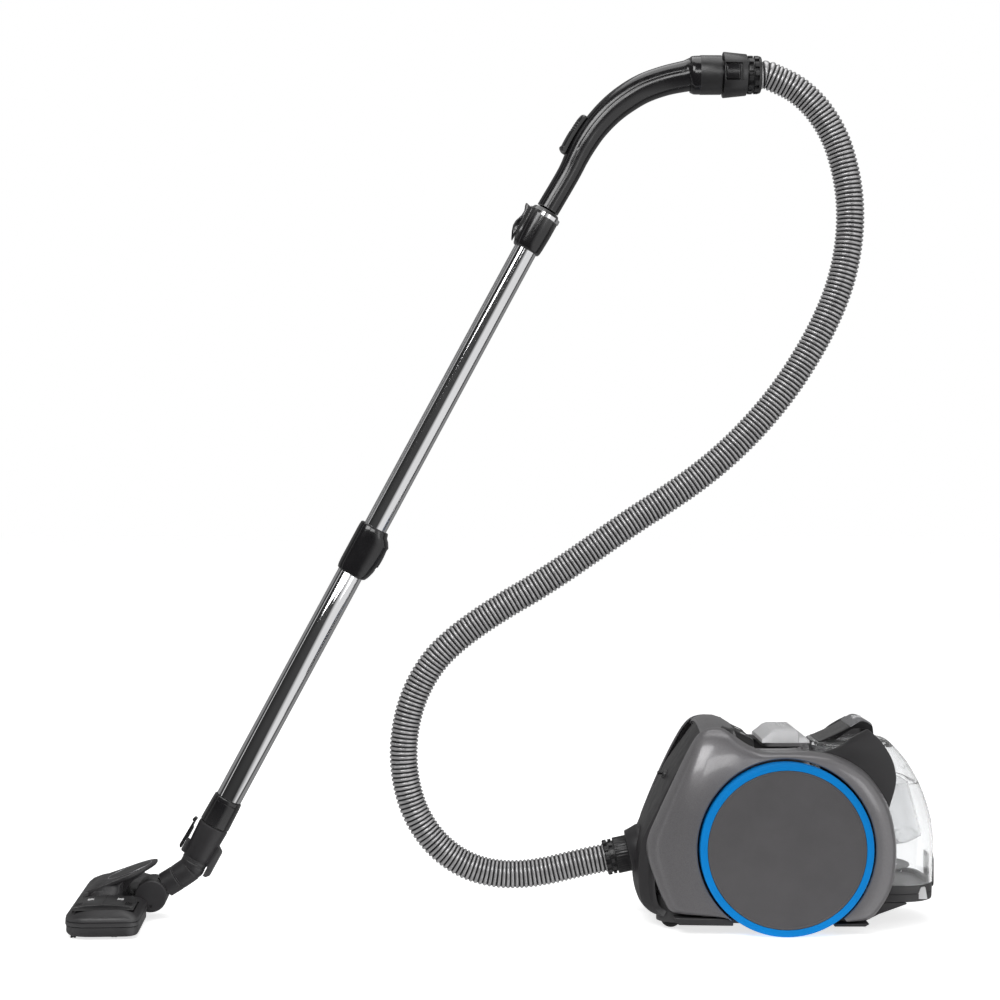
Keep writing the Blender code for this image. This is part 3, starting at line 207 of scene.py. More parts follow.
def ribbed_silver():
    """Silver-grey hose: bright crests, grooves painted near-black as painted shade, dust dulling some crests."""
    finish = Finish("hose_silver", (0.40, 0.40, 0.405), 0.30, Metallic=0.55)
    ridge = finish.nodes.new("ShaderNodeAttribute")
    ridge.attribute_name = "ridge"
    crest = finish.mix(finish.spread(finish.noise(70), 0.0, 1.0), (0.40, 0.395, 0.40, 1.0), (0.52, 0.515,
            0.52, 1.0))
    share = finish.spread(ridge.outputs["Fac"], 0.0, 1.0, 0.25, 0.80)
    # Painted shade: the grooves get a near-black colour, standing in for the shade that falls in them.
    finish.paint(finish.mix(share, (0.018, 0.018, 0.019, 1.0), crest))
    finish.uneven(90, 0.06)
    return finish.bump(finish.noise(900, 2.0), 0.00004, 0.4).material


def clear(name, colour, roughness, rough_scale, through=0.96):
    """Clear or milky moulded plastic."""
    finish = Finish(name, colour, roughness, Transmission_Weight=through, IOR=1.46)
    finish.paint(finish.tone(15, 0.02))
    finish.uneven(rough_scale, 0.02)
    return finish.bump(finish.noise(40, 2.0), 0.00005, 0.3).material


def fibrous(name, colour, scale):
    """Bristle or filter paper: fine upright lines."""
    finish = Finish(name, colour, 0.9)
    lines = finish.noise(scale, 4.0, stretch=(1.0, 1.0, 20.0))
    dark = tuple(c * 0.6 for c in colour) + (1.0,)
    finish.paint(finish.mix(finish.spread(lines, 0.0, 1.0), dark, finish.colour))
    return finish.bump(lines, 0.0004, 0.8).material


MATERIALS = {
    "grey_lacquer": lacquer(),
    "dark_plastic": moulded("dark_plastic", (0.022, 0.021, 0.0225), 0.40, 900, 0.00010, (0.10, 0.10, 0.10)),
    "black_gloss": moulded("black_gloss", (0.009, 0.0085, 0.0095), 0.20, 300, 0.00002, (0.05, 0.05, 0.05),
                           Coat_Weight=0.3, Coat_Roughness=0.06),
    "black_soft": moulded("black_soft", (0.012, 0.0115, 0.0125), 0.36, 1100, 0.00008, (0.07, 0.07, 0.07)),
    "wheel_grey": moulded("wheel_grey", (0.070, 0.067, 0.070), 0.66, 800, 0.00008, (0.12, 0.12, 0.12)),
    "tyre_blue": moulded("tyre_blue", (0.0, 0.185, 0.530), 0.62, 700, 0.00006, (0.0, 0.22, 0.60),
                         Specular_IOR_Level=0.12),
    "caster_rubber": moulded("caster_rubber", (0.016, 0.016, 0.016), 0.70, 600, 0.00012, (0.05, 0.05, 0.05)),
    "clear_smoke": clear("clear_smoke", (0.93, 0.935, 0.94), 0.03, 30),
    "light_clear": clear("light_clear", (0.86, 0.86, 0.87), 0.30, 60, 0.45),
    "chrome": polished_metal("chrome", (0.80, 0.80, 0.81), 0.07, (0.0, WAND_ANGLE, 0.0)),
    "steel": polished_metal("steel", (0.56, 0.56, 0.58), 0.30),
    "hose_silver": ribbed_silver(),
    "filter_white": fibrous("filter_white", (0.72, 0.72, 0.69), 300),
    "motor_dark": moulded("motor_dark", (0.11, 0.11, 0.12), 0.55, 600, 0.00012, (0.2, 0.2, 0.2)),
    "bristle": fibrous("bristle", (0.028, 0.028, 0.028), 900),
}
PALE_MARK = moulded("pale_mark", (0.60, 0.60, 0.60), 0.35, 900, 0.00003, (0.75, 0.75, 0.75))


# ---------------------------------------------------------------- mesh helpers
def mesh_object(name, verts, faces, sharp=32.0):
    mesh = bpy.data.meshes.new(name)
    mesh.from_pydata([tuple(v) for v in verts], [], faces)
    bm = bmesh.new()
    bm.from_mesh(mesh)
    bmesh.ops.remove_doubles(bm, verts=bm.verts, dist=1e-6)
    bmesh.ops.recalc_face_normals(bm, faces=bm.faces)
    bm.to_mesh(mesh)
    bm.free()
    mesh.shade_smooth()
    mesh.set_sharp_from_angle(angle=math.radians(sharp))
    obj = bpy.data.objects.new(name, mesh)
    bpy.context.scene.collection.objects.link(obj)
    return obj


def loft(name, rings, closed_ends=True, sharp=32.0):
    """Skin through rings of equal size; open-ended, the skin returns from the last ring to the first."""
    size = len(rings[0])
    count = len(rings)
    spans = count - 1 if closed_ends else count
    faces = []
    for i in range(spans):
        a, b = i * size, ((i + 1) % count) * size
        for j in range(size):
            k = (j + 1) % size
            faces.append((a + j, a + k, b + k, b + j))
    if closed_ends:
        faces.append(tuple(range(size)))
        faces.append(tuple((count - 1) * size + j for j in range(size)))
    return mesh_object(name, [v for ring in rings for v in ring], faces, sharp)


def frame_on(axis):
    axis = Vector(axis).normalized()
    side = Y_AXIS if abs(axis.y) < 0.9 else X_AXIS
    u = axis.cross(side).normalized()
    return u, axis.cross(u).normalized()


def turned(name, centre, axis, profile, steps=96, solid=True, sharp=32.0):
    """Turned body from (along, radius) points; a radius may be a function of the angle."""
    axis = Vector(axis).normalized()
    u, v = frame_on(axis)
    rings = []
    for along, radius in profile:
        ring = []
        for i in range(steps):
            turn = 2 * math.pi * i / steps
            r = radius(turn) if callable(radius) else radius
            ring.append(Vector(centre) + axis * along + (u * math.cos(turn) + v * math.sin(turn)) * r)
        rings.append(ring)
    return loft(name, rings, solid, sharp)


def notched(base, depth, count, share=0.5, start=0.0):
    """A radius with a row of square notches round it."""
    def radius(turn):
        phase = (turn * count / (2 * math.pi) + start) % 1.0
        return base - (depth if phase < share else 0.0)
    return radius


def prism(name, outline, y0, y1, sharp=32.0):
    """An (x, z) outline extruded from y0 to y1."""
    return loft(name, [[Vector((x, y, z)) for x, z in outline] for y in (y0, y1)], True, sharp)


def block(name, low, high):
    corners = [(low[0], low[2]), (high[0], low[2]), (high[0], high[2]), (low[0], high[2])]
    return prism(name, corners, low[1], high[1])


def smooth_curve(points, per_span):
    """Points along a Catmull-Rom curve through the given ones."""
    pts = [np.array(p, float) for p in points]
    pts = [2 * pts[0] - pts[1], *pts, 2 * pts[-1] - pts[-2]]
    out = []
    for i in range(1, len(pts) - 2):
        a, b, c, d = pts[i - 1 : i + 3]
        for k in range(per_span):
            t = k / per_span
            out.append(
                0.5 * (2 * b + (c - a) * t + (2 * a - 5 * b + 4 * c - d) * t**2
                       + (3 * b - a - 3 * c + d) * t**3)
            )
    out.append(pts[-2])
    return out


def evenly(points, count):
    """Points spaced evenly along a polyline."""
    pts = np.array(points)
    run = np.r_[0, np.cumsum(np.linalg.norm(np.diff(pts, axis=0), axis=1))]
    want = np.linspace(0, run[-1], count)
    return np.stack([np.interp(want, run, pts[:, i]) for i in range(pts.shape[1])], axis=1)


def oval(across, side, power=2.0, steps=64):
    """A superellipse of (across, side) points."""
    ring = []
    for i in range(steps):
        turn = 2 * math.pi * i / steps
        c, s = math.cos(turn), math.sin(turn)
        ring.append((across * math.copysign(abs(c) ** (2 / power), c),
                     side * math.copysign(abs(s) ** (2 / power), s)))
    return ring


def combine(target, tool, operation="DIFFERENCE"):
    """Applies a Boolean of target with tool, and removes the tool."""
    step = target.modifiers.new("combine", "BOOLEAN")
    step.operation = operation
    step.solver = "EXACT"
    step.object = tool
    view = bpy.context.evaluated_depsgraph_get()
    view.update()
    result = bpy.data.meshes.new_from_object(target.evaluated_get(view))
    target.modifiers.remove(step)
    target.data = result
    bpy.data.objects.remove(tool, do_unlink=True)
    result.shade_smooth()
    result.set_sharp_from_angle(angle=math.radians(32))
    return target


def rounded(obj, width, segments=3, angle=32.0):
    """Rounds an object's sharp edges and bakes the result into its mesh."""
    step = obj.modifiers.new("rounded", "BEVEL")
    step.width = width
    step.segments = segments
    step.limit_method = "ANGLE"
    step.angle_limit = math.radians(angle)
    step.harden_normals = False
    view = bpy.context.evaluated_depsgraph_get()
    view.update()
    result = bpy.data.meshes.new_from_object(obj.evaluated_get(view))
    obj.modifiers.remove(step)
    obj.data = result
    result.shade_smooth()
    result.set_sharp_from_angle(angle=math.radians(50))
    return obj


def dressed(obj, slot, body, *nodes, look=None):
    """Gives a piece its slot's material and its body, and hides the CAD nodes it stands for."""
    obj.data.materials.clear()
    obj.data.materials.append(look or MATERIALS[slot])
    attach(obj, body)
    if nodes:
        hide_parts(*nodes)
    return obj


def placed(obj, matrix):
    obj.data.transform(matrix)
    return obj


def at(x, y, z):
    """A point given from the main axle's x."""
    return Vector((AXLE_X + x, y, z))


def on_wand(along, across=0.0, side=0.0):
    return WAND_POINT + WAND_DOWN * along + WAND_OUT * across + Y_AXIS * side


def wand_place(along, face):
    """Wand frame: x down the wand, z across it, on the lower side for face 1 and the upper for -1."""
    turn = Matrix((WAND_DOWN, Y_AXIS * face, WAND_OUT * face)).transposed().to_4x4()
    return Matrix.Translation(on_wand(along)) @ turn


def superellipse(x0, x1, half, z, power=5.0, steps=120):
    """A rounded rectangle in plan at height z, x from the axle."""
    centre, reach = (x0 + x1) / 2, (x1 - x0) / 2
    ring = []
    for i in range(steps):
        turn = 2 * math.pi * (i + 0.5) / steps
        c, s = math.cos(turn), math.sin(turn)
        ring.append(at(centre + reach * math.copysign(abs(c) ** (2 / power), c),
                       half * math.copysign(abs(s) ** (2 / power), s), z))
    return ring


# ---------------------------------------------------------------- camera, light and floor
def add_camera():
    data = bpy.data.cameras.new("camera")
    data.lens = 74.88
    data.sensor_width = 36.0
    data.clip_end = 60.0
    camera = bpy.data.objects.new("camera", data)
    camera.location = (-0.0032, -2.8, 0.561)
    camera.rotation_euler = (math.pi / 2, 0, 0)
    bpy.context.scene.collection.objects.link(camera)
    bpy.context.scene.camera = camera


def add_softbox(name, centre, target, width, height, power):
    data = bpy.data.lights.new(name, "AREA")
    data.shape = "RECTANGLE"
    data.size, data.size_y = width, height
    data.energy = power
    lamp = bpy.data.objects.new(name, data)
    lamp.location = centre
    lamp.rotation_euler = (Vector(target) - Vector(centre)).to_track_quat("-Z", "Y").to_euler()
    lamp.visible_camera = False
    bpy.context.scene.collection.objects.link(lamp)


SURROUND = 0.36


def add_world():
    """White studio; glossy surfaces see black flags in front and to the left, as chrome needs."""
    world = bpy.data.worlds.new("studio")
    bpy.context.scene.world = world
    world.use_nodes = True
    nodes, links = world.node_tree.nodes, world.node_tree.links
    background = nodes["Background"]
    split = nodes.new("ShaderNodeSeparateXYZ")
    links.new(nodes.new("ShaderNodeTexCoord").outputs["Generated"], split.inputs["Vector"])
    ramp = nodes.new("ShaderNodeValToRGB")
    shift = nodes.new("ShaderNodeMapRange")
    shift.inputs["From Min"].default_value = -1.0
    links.new(split.outputs["Y"], shift.inputs["Value"])
    links.new(shift.outputs["Result"], ramp.inputs["Fac"])
    stops = [(0.0, 0.06), (0.30, 0.03), (0.39, 0.02), (0.415, 0.8), (0.44, 0.8), (0.47, 0.03),
             (0.58, 0.05), (0.70, 0.30), (1.0, 0.22)]
    while len(ramp.color_ramp.elements) < len(stops):
        ramp.color_ramp.elements.new(0.5)
    for element, (position, level) in zip(ramp.color_ramp.elements, stops):
        element.position = position
        element.color = (level, level, level, 1.0)
    panel = nodes.new("ShaderNodeMath")
    panel.operation = "MULTIPLY"
    for slot, (axis, start, end) in enumerate((("X", 0.16, 0.48), ("Y", 0.10, -0.02))):
        side = nodes.new("ShaderNodeMapRange")
        side.inputs["From Min"].default_value = start
        side.inputs["From Max"].default_value = end
        links.new(split.outputs[axis], side.inputs["Value"])
        links.new(side.outputs["Result"], panel.inputs[slot])
    lit = nodes.new("ShaderNodeMix")
    lit.data_type = "RGBA"
    links.new(panel.outputs[0], lit.inputs[0])
    links.new(ramp.outputs["Color"], lit.inputs[6])
    lit.inputs[7].default_value = (0.85, 0.85, 0.85, 1.0)
    path = nodes.new("ShaderNodeLightPath")
    choose = nodes.new("ShaderNodeMix")
    choose.data_type = "RGBA"
    choose.inputs[6].default_value = (SURROUND, SURROUND, SURROUND, 1.0)
    links.new(path.outputs["Is Glossy Ray"], choose.inputs[0])
    links.new(lit.outputs[2], choose.inputs[7])
    seen = nodes.new("ShaderNodeMix")
    seen.data_type = "RGBA"
    straight = nodes.new("ShaderNodeMath")
    straight.operation = "MAXIMUM"
    links.new(path.outputs["Is Camera Ray"], straight.inputs[0])
    links.new(path.outputs["Is Transmission Ray"], straight.inputs[1])
    links.new(straight.outputs[0], seen.inputs[0])
    links.new(choose.outputs[2], seen.inputs[6])
    seen.inputs[7].default_value = (1.0, 1.0, 1.0, 1.0)
    links.new(seen.outputs[2], background.inputs["Color"])
    background.inputs["Strength"].default_value = 1.0
    bpy.context.scene.view_settings.view_transform = "Standard"


def add_floor():
    mesh = bpy.data.meshes.new("floor")
    reach = 30.0
    mesh.from_pydata([(-reach, -0.50, 0), (reach, -0.50, 0), (reach, reach, 0), (-reach, reach, 0)], [],
                     [(0, 1, 2, 3)])
    floor = bpy.data.objects.new("floor", mesh)
    bpy.context.scene.collection.objects.link(floor)
    finish = Finish("floor_white", (0.80, 0.80, 0.80), 0.7, Emission_Color=(1.0, 1.0, 1.0, 1.0),
                    Emission_Strength=0.72)
    mesh.materials.append(finish.paint(finish.tone(2, 0.004)).material)
    floor.location.z = -0.0005
    floor.visible_glossy = False


add_camera()
add_world()
add_floor()
add_softbox("key", (-1.10, -2.5, 2.6), (0.30, 0.0, 0.35), 1.7, 1.4, 52)
add_softbox("top", (0.2, 0.3, 3.2), (0.0, 0.0, 0.0), 2.4, 2.0, 30)
add_softbox("near", (0.15, -2.9, 1.75), (0.35, 0.0, 0.25), 0.90, 0.70, 12)
add_softbox("fill", (1.9, -2.2, 1.2), (0.2, 0.0, 0.5), 0.9, 1.6, 8)


# ---------------------------------------------------------------- hose
RIB_PITCH = 0.00575
RIB_DEPTH = 0.0023
HOSE_ROUTE = [
    (0.3658, 1.1290), (0.3878, 1.1180), (0.4088, 1.1040), (0.4413, 1.0614),
    (0.4598, 1.0111), (0.4678, 0.9579), (0.4656, 0.9042), (0.4543, 0.8516), (0.4345, 0.8016),
    (0.4089, 0.7543), (0.3793, 0.7094), (0.3454, 0.6676), (0.3078, 0.6290), (0.2667, 0.5944),
    (0.2228, 0.5633), (0.1776, 0.5340), (0.1333, 0.5035), (0.0890, 0.4728), (0.0439, 0.4434),
    (-0.0023, 0.4158), (-0.0468, 0.3856), (-0.0870, 0.3499), (-0.1154, 0.3044),
    (-0.1304, 0.2528), (-0.1318, 0.1991), (-0.1193, 0.1469), (-0.0909, 0.1015),
    (-0.0479, 0.0697), (0.0041, 0.0574), (0.0576, 0.0618), (0.0958, 0.0706),
    (0.1177, 0.0754),
]


def hose_line():
    """The hose's centre line, from the handle's cuff to the canister's cuff."""
    near = Vector((HANDLE_FACE_X + CUFF_REACH + GAP, 0, HANDLE_AXIS_Z))
    far = SOCKET_POINT - SOCKET_AXIS * (CUFF_LENGTH + GAP)
    lead_in = [(near.x, near.z), (near.x + HOSE_LEAD, near.z)]
    lead_out = [far - SOCKET_AXIS * HOSE_LEAD, far]
    return [*lead_in, *evenly(smooth_curve(HOSE_ROUTE, 12), 52), *[(p.x, p.z) for p in lead_out]]


def build_hose():
    coarse = hose_line()
    fine = smooth_curve(coarse, 10)
    length = float(np.linalg.norm(np.diff(np.array(fine), axis=0), axis=1).sum())
    per_rib, steps = 8, 40
    count = int(length / RIB_PITCH * per_rib) + 1
    line = evenly(fine, count)
    step = length / (count - 1)
    rings, ridge = [], []
    for i, (x, z) in enumerate(line):
        before, after = line[max(0, i - 1)], line[min(count - 1, i + 1)]
        ahead = Vector((after[0] - before[0], 0, after[1] - before[1])).normalized()
        across = ahead.cross(Y_AXIS)
        ring = []
        for j in range(steps):
            turn = 2 * math.pi * j / steps
            phase = i * step / RIB_PITCH
            groove = (0.5 - 0.5 * math.cos(2 * math.pi * phase)) ** 1.8
            r = HOSE_D / 2 - RIB_DEPTH * groove
            ring.append(Vector((x, 0, z)) + across * (r * math.cos(turn)) + Y_AXIS * (r * math.sin(turn)))
            ridge.append(1.0 - groove)
        rings.append(ring)
    obj = loft("ribbed_hose", rings, True, 80.0)
    # The ridge attribute is 1 on the crests and 0 in the grooves; the hose material paints the groove shade from it.
    store = obj.data.attributes.new("ridge", "FLOAT", "POINT")
    store.data.foreach_set("value", np.array(ridge, np.float32))
    dressed(obj, "hose_silver", "hose_line", "hose")


def canister_cuff():
    """Swivel cuff at the canister: two castellated rings, a ribbed sleeve and a spigot."""
    slot_a = notched(0.0236, 0.0030, 12, 0.42)
    slot_b = notched(0.0236, 0.0030, 12, 0.42, 0.5)
    fine = notched(0.0242, 0.0006, 36, 0.4)
    profile = [
        (-CUFF_LENGTH - 0.0004, 0.0195), (-CUFF_LENGTH - 0.0004, 0.0222), (-CUFF_LENGTH, 0.0228),
        (-0.0350, slot_a), (-0.0308, slot_a), (-0.0306, 0.0206), (-0.0288, 0.0206), (-0.0286, slot_b),
        (-0.0244, slot_b), (-0.0242, 0.0206), (-0.0224, 0.0206), (-0.0222, 0.0238), (-0.0214, 0.0242),
        (-0.0200, fine), (-0.0060, fine), (-0.0050, 0.0244), (-0.0040, 0.0250), (-0.0036, 0.0268),
        (-0.0030, 0.0272), (-0.0010, 0.0272), (-0.0004, 0.0266), (-0.0004, 0.0210), (0.0292, 0.0210),
        (0.0300, 0.0206), (0.0300, 0.0176), (-0.0320, 0.0176), (-0.0320, 0.0195),
    ]
    cuff = turned("canister_hose_cuff", SOCKET_POINT, SOCKET_AXIS, profile, 144, False)
    dressed(cuff, "black_soft", "hose_line", "hose_cuff_canister")


def handle_cuff():
    """Flared cuff at the handle with its release key and castellated strain relief."""
    start = Vector((HANDLE_FACE_X, 0, HANDLE_AXIS_Z))
    slots_a = notched(0.0256, 0.0034, 12, 0.40)
    slots_b = notched(0.0254, 0.0034, 12, 0.40, 0.5)
    profile = [
        (-0.0250, 0.0174), (-0.0250, 0.0192), (-0.0242, 0.0198), (0.0002, 0.0198), (0.0002, 0.0298),
        (0.0006, 0.0304), (0.0016, 0.0306), (0.0310, 0.0276), (0.0318, 0.0270), (0.0320, 0.0232),
        (0.0336, 0.0232), (0.0338, 0.0254), (0.0344, slots_a), (0.0396, slots_a), (0.0398, 0.0226),
        (0.0416, 0.0226), (0.0418, slots_b), (0.0470, slots_b), (0.0474, 0.0250), (0.0500, 0.0244),
        (CUFF_REACH, 0.0234), (CUFF_REACH, 0.0195), (0.0470, 0.0195), (0.0470, 0.0172), (-0.0240, 0.0172),
    ]
    cuff = turned("handle_hose_cuff", start, (1, 0, 0), profile, 144, False)
    for side in (-1, 1):
        recess = block("recess", (-0.0010, side * 0.0270 - 0.0050, -0.0118), (0.0226,
                side * 0.0270 + 0.0050, 0.0118))
        combine(cuff, placed(recess, Matrix.Translation(start + X_AXIS * 0.0020)))
    dressed(cuff, "black_soft", "hose_line", "hose_cuff_handle")
    for name, side in SIDES:
        rings = []
        for x, reach in ((0.0030, 0.0278), (0.0040, 0.0286), (0.0150, 0.0272), (0.0200, 0.0278), (0.0212,
                0.0268)):
            ring = []
            for a in (-0.0100, -0.0096, -0.0060, 0.0, 0.0060, 0.0096, 0.0100):
                ring.append(start + Vector((x, side * math.sqrt(reach**2 - a * a), a)))
            for a in (0.0100, -0.0100):
                ring.append(start + Vector((x, side * 0.0226, a)))
            rings.append(ring)
        key = rounded(loft(f"hose_key_{name}", rings), 0.0006, 2)
        dressed(key, "black_gloss", "hose_line")


# ---------------------------------------------------------------- handle
HANDLE_PATH = [
    (0.2963, 1.1330, 0.0258), (0.2628, 1.1328, 0.0258), (0.2588, 1.1326, 0.0215),
    (0.2478, 1.1318, 0.0208), (0.2190, 1.1255, 0.0200), (0.1897, 1.1150, 0.0198),
    (0.1648, 1.1002, 0.0195), (0.1439, 1.0833, 0.0188), (0.1247, 1.0622, 0.0180),
    (0.1106, 1.0418, 0.0175), (0.0999, 1.0222, 0.0165), (0.0883, 0.9985, 0.0156),
    (0.0611, 0.9520, 0.0156),
]


def handle_section(radius, seam, steps=96):
    """Round section with a fine parting groove on each side."""
    ring = []
    for i in range(steps):
        turn = 2 * math.pi * i / steps
        across, side = math.cos(turn), math.sin(turn)
        depth = 0.0
        if seam > 0 and abs(across + 0.20) < 0.035 and abs(side) > 0.5:
            depth = seam
        ring.append(((radius - depth) * across, (radius - depth) * side))
    return ring


def build_handle():
    knots = [(0.2892, 1.1330, 0.0250), (0.2884, 1.1330, 0.0256), (0.2780, 1.1330, 0.0258),
             (0.2580, 1.1328, 0.0256), (0.2535, 1.1326, 0.0240), (0.2500, 1.1325, 0.0216), *HANDLE_PATH[3:]]
    line = evenly(smooth_curve(knots, 8), 150)
    outer = []
    for i in range(len(line)):
        share = i / (len(line) - 1)
        seam = 0.0005 if 0.16 < share < 0.72 else 0.0
        outer.append(handle_section(float(line[i][2]), seam))
    inner = [oval(max(0.0121, float(r) - 0.0035), max(0.0121, float(r) - 0.0035), steps=96) for _, _,
             r in line]
    points = [(x, 0, z) for x, z, _ in line]
    sections = outer + inner[::-1]
    tube = sweep_pair("curved_handle", points, sections)
    bore = turned("bore", (0.2892, 0, 1.1330), (-1, 0, 0), [(-0.002, 0.0210), (0.0330, 0.0210), (0.0370,
            0.0180)])
    combine(tube, bore)
    window = block("window", (-0.0110, -0.0060, -0.0050), (0.0110, 0.0060, 0.0120))
    combine(tube, placed(window, slider_place()))
    dressed(tube, "black_gloss", "handle", "handle_tube")
    ring = turned("handle_end_ring", (HANDLE_FACE_X, 0, HANDLE_AXIS_Z), (-1, 0, 0),
                  [(0.0020, 0.0257), (0.0024, 0.0262), (0.0300, 0.0263), (0.0308, 0.0259), (0.0308, 0.0250),
                   (0.0020, 0.0250)], 96, False)
    dressed(ring, "black_soft", "handle")


def sweep_pair(name, points, sections):
    """Out along the points with the outer sections and back with the inner ones."""
    there_and_back = [Vector(p) for p in points]
    rings = []
    last = len(points) - 1
    for i, section in enumerate(sections):
        k = i if i <= last else 2 * last + 1 - i
        ahead = there_and_back[min(k + 1, last)] - there_and_back[max(k - 1, 0)]
        across = ahead.normalized().cross(Y_AXIS).normalized()
        rings.append([there_and_back[k] + across * a + Y_AXIS * b for a, b in section])
    return loft(name, rings, False)


def slider_place():
    """The suction slider's frame: x down the handle, z out on its upper left side."""
    a = Vector((HANDLE_PATH[8][0], 0, HANDLE_PATH[8][1]))
    b = Vector((HANDLE_PATH[10][0], 0, HANDLE_PATH[10][1]))
    along = (b - a).normalized()
    out = Vector((-abs(along.z), 0, abs(along.x))).normalized()
    centre = (a + b) / 2 + out * 0.0165
    return Matrix.Translation(centre) @ Matrix((along, -Y_AXIS, out)).transposed().to_4x4()


def build_slider():
    """Saddle-shaped sliding cover that follows the handle's curve, with a raised lip and grip ribs."""
    spine = evenly(smooth_curve([(x, z) for x, z, _ in HANDLE_PATH[7:12]], 12), 400)
    centre = slider_place().translation
    nearest = min(range(len(spine)), key=lambda i: math.hypot(spine[i][0] - centre.x, spine[i][1] - centre.z))
    pitch = math.hypot(*(spine[1] - spine[0]))
    rings = []
    stations = np.linspace(-0.0262, 0.0262, 53)
    for along in stations:
        i = min(len(spine) - 2, max(1, nearest + round(along / pitch)))
        way = Vector((spine[i + 1][0] - spine[i - 1][0], 0, spine[i + 1][1] - spine[i - 1][1])).normalized()
        out = Vector((way.z, 0, -way.x))
        end = max(0.0, 1 - (abs(along) / 0.0262) ** 8) ** 0.5
        lip = 0.0016 * math.exp(-((along - 0.0225) / 0.0024) ** 2)
        reach = 0.0232 + (0.0256 - 0.0232) * end + lip
        if -0.0160 < along < 0.0 and int(along / 0.0016) % 2:
            reach -= 0.0005
        ring = []
        for k in range(17):
            turn = math.radians(-34 + 68 * k / 16)
            edge = 0.0010 * (abs(k - 8) / 8) ** 6
            ring.append(Vector((spine[i][0], 0, spine[i][1])) + out * (reach - edge) * math.cos(turn)
                        + Y_AXIS * (reach - edge) * math.sin(turn))
        for k in range(16, -1, -1):
            turn = math.radians(-34 + 68 * k / 16)
            ring.append(Vector((spine[i][0], 0, spine[i][1])) + out * 0.0196 * math.cos(turn)
                        + Y_AXIS * 0.0196 * math.sin(turn))
        rings.append(ring)
    dressed(loft("bleed_slider_cover", rings), "black_gloss", "bleed_slider", "suction_slider")


# ---------------------------------------------------------------- wand
def build_collar():
    """Collar below the handle: round body, flat lever housing and a silver half band."""
    start, end = COLLAR
    bore = INNER_TUBE_R + GAP
    body = turned("upper_collar", WAND_POINT, WAND_DOWN,
                  [(start, bore), (start, 0.0176), (start + 0.0010, 0.0184), (start + 0.0040, 0.0200),
                   (start + 0.0052, 0.0214), (start + 0.0120, 0.0216), (start + 0.0300, 0.0214),
                   (end - 0.0100, 0.0204), (end - 0.0030, 0.0196), (end - 0.0008, 0.0186), (end, 0.0174),
                   (end, bore)], 96, False)
    housing = []
    for s, top, half in ((start + 0.0040, 0.0205, 0.0110), (start + 0.0060, 0.0222, 0.0120),
                         (end - 0.0140, 0.0222, 0.0120), (end - 0.0060, 0.0205, 0.0110)):
        housing.append([on_wand(s, -top, -half * 0.8), on_wand(s, -top, half * 0.8), on_wand(s,
                -top + 0.003, half),
                        on_wand(s, -0.0170, half), on_wand(s, -0.0170, -half), on_wand(s, -top + 0.003,
                                -half)])
    combine(body, loft("housing", housing), "UNION")
    dressed(rounded(body, 0.0006, 2), "black_gloss", "handle", "wand_collar")
    band = []
    for s, r in ((-0.1122, 0.0218), (-0.1118, 0.0226), (-0.1068, 0.0227), (-0.1062, 0.0219)):
        arc = []
        for i in range(33):
            turn = math.radians(-100 + 200 * i / 32)
            arc.append(on_wand(s, r * math.cos(turn), r * math.sin(turn)))
        for i in range(32, -1, -1):
            turn = math.radians(-100 + 200 * i / 32)
            arc.append(on_wand(s, 0.0211 * math.cos(turn), 0.0211 * math.sin(turn)))
        band.append(arc)
    dressed(loft("collar_band", band), "chrome", "handle")


def build_lever():
    """Release lever: a hooked paddle with a hollow side."""
    outline = [(-0.0270, 0.0222), (-0.0276, 0.0250), (-0.0286, 0.0282), (-0.0276, 0.0292), (-0.0240, 0.0284),
               (-0.0180, 0.0262), (-0.0110, 0.0266), (-0.0010, 0.0300), (0.0060, 0.0304), (0.0140, 0.0280),
               (0.0230, 0.0240), (0.0236, 0.0222)]
    rings = []
    for y, shrink in ((-0.0092, 0.86), (-0.0084, 1.0), (0.0084, 1.0), (0.0092, 0.86)):
        rings.append([Vector((x, y, 0.0222 + (z - 0.0222) * shrink)) for x, z in outline])
    lever = loft("collar_release_lever", rings)
    for side in (-1, 1):
        dish = [(-0.0040, 0.0236), (-0.0010, 0.0282), (0.0060, 0.0284), (0.0120, 0.0250), (0.0100, 0.0236)]
        low, high = sorted((side * 0.0078, side * 0.0120))
        combine(lever, prism("dish", dish, low, high))
    placed(rounded(lever, 0.0005, 2), wand_place(-0.0840, -1))
    dressed(lever, "black_gloss", "wand_lever", "collar_lever")


def build_tubes():
    """Telescopic chrome tubes; the inner one has a lengthwise guide groove."""
    groove_at = math.radians(180 - 38)

    def guide(radius):
        def at_angle(turn):
            off = abs((turn - groove_at + math.pi) % (2 * math.pi) - math.pi)
            return radius - 0.0007 * max(0.0, 1 - (off / math.radians(9)) ** 2)
        return at_angle

    start, end = INNER_TUBE
    wall = 0.0009
    steps = np.linspace(start + 0.001, end - 0.001, 40)
    profile = [(start, INNER_TUBE_R - 0.0004), *[(s, guide(INNER_TUBE_R)) for s in steps],
               (end, INNER_TUBE_R - 0.0004), (end, INNER_TUBE_R - wall), (start, INNER_TUBE_R - wall)]
    dressed(turned("inner_tube", WAND_POINT, WAND_DOWN, profile, 160, False, 60), "chrome", "handle",
            "wand_tube_upper")
    start, end = OUTER_TUBE
    bore = INNER_TUBE_R + GAP
    profile = [(start, OUTER_TUBE_R - 0.0004), (start + 0.0005, OUTER_TUBE_R), (end - 0.0005, OUTER_TUBE_R),
               (end, OUTER_TUBE_R - 0.0004), (end, bore), (start, bore)]
    dressed(turned("outer_tube", WAND_POINT, WAND_DOWN, profile, 160, False, 60), "chrome", "lower_wand",
            "wand_tube_lower")


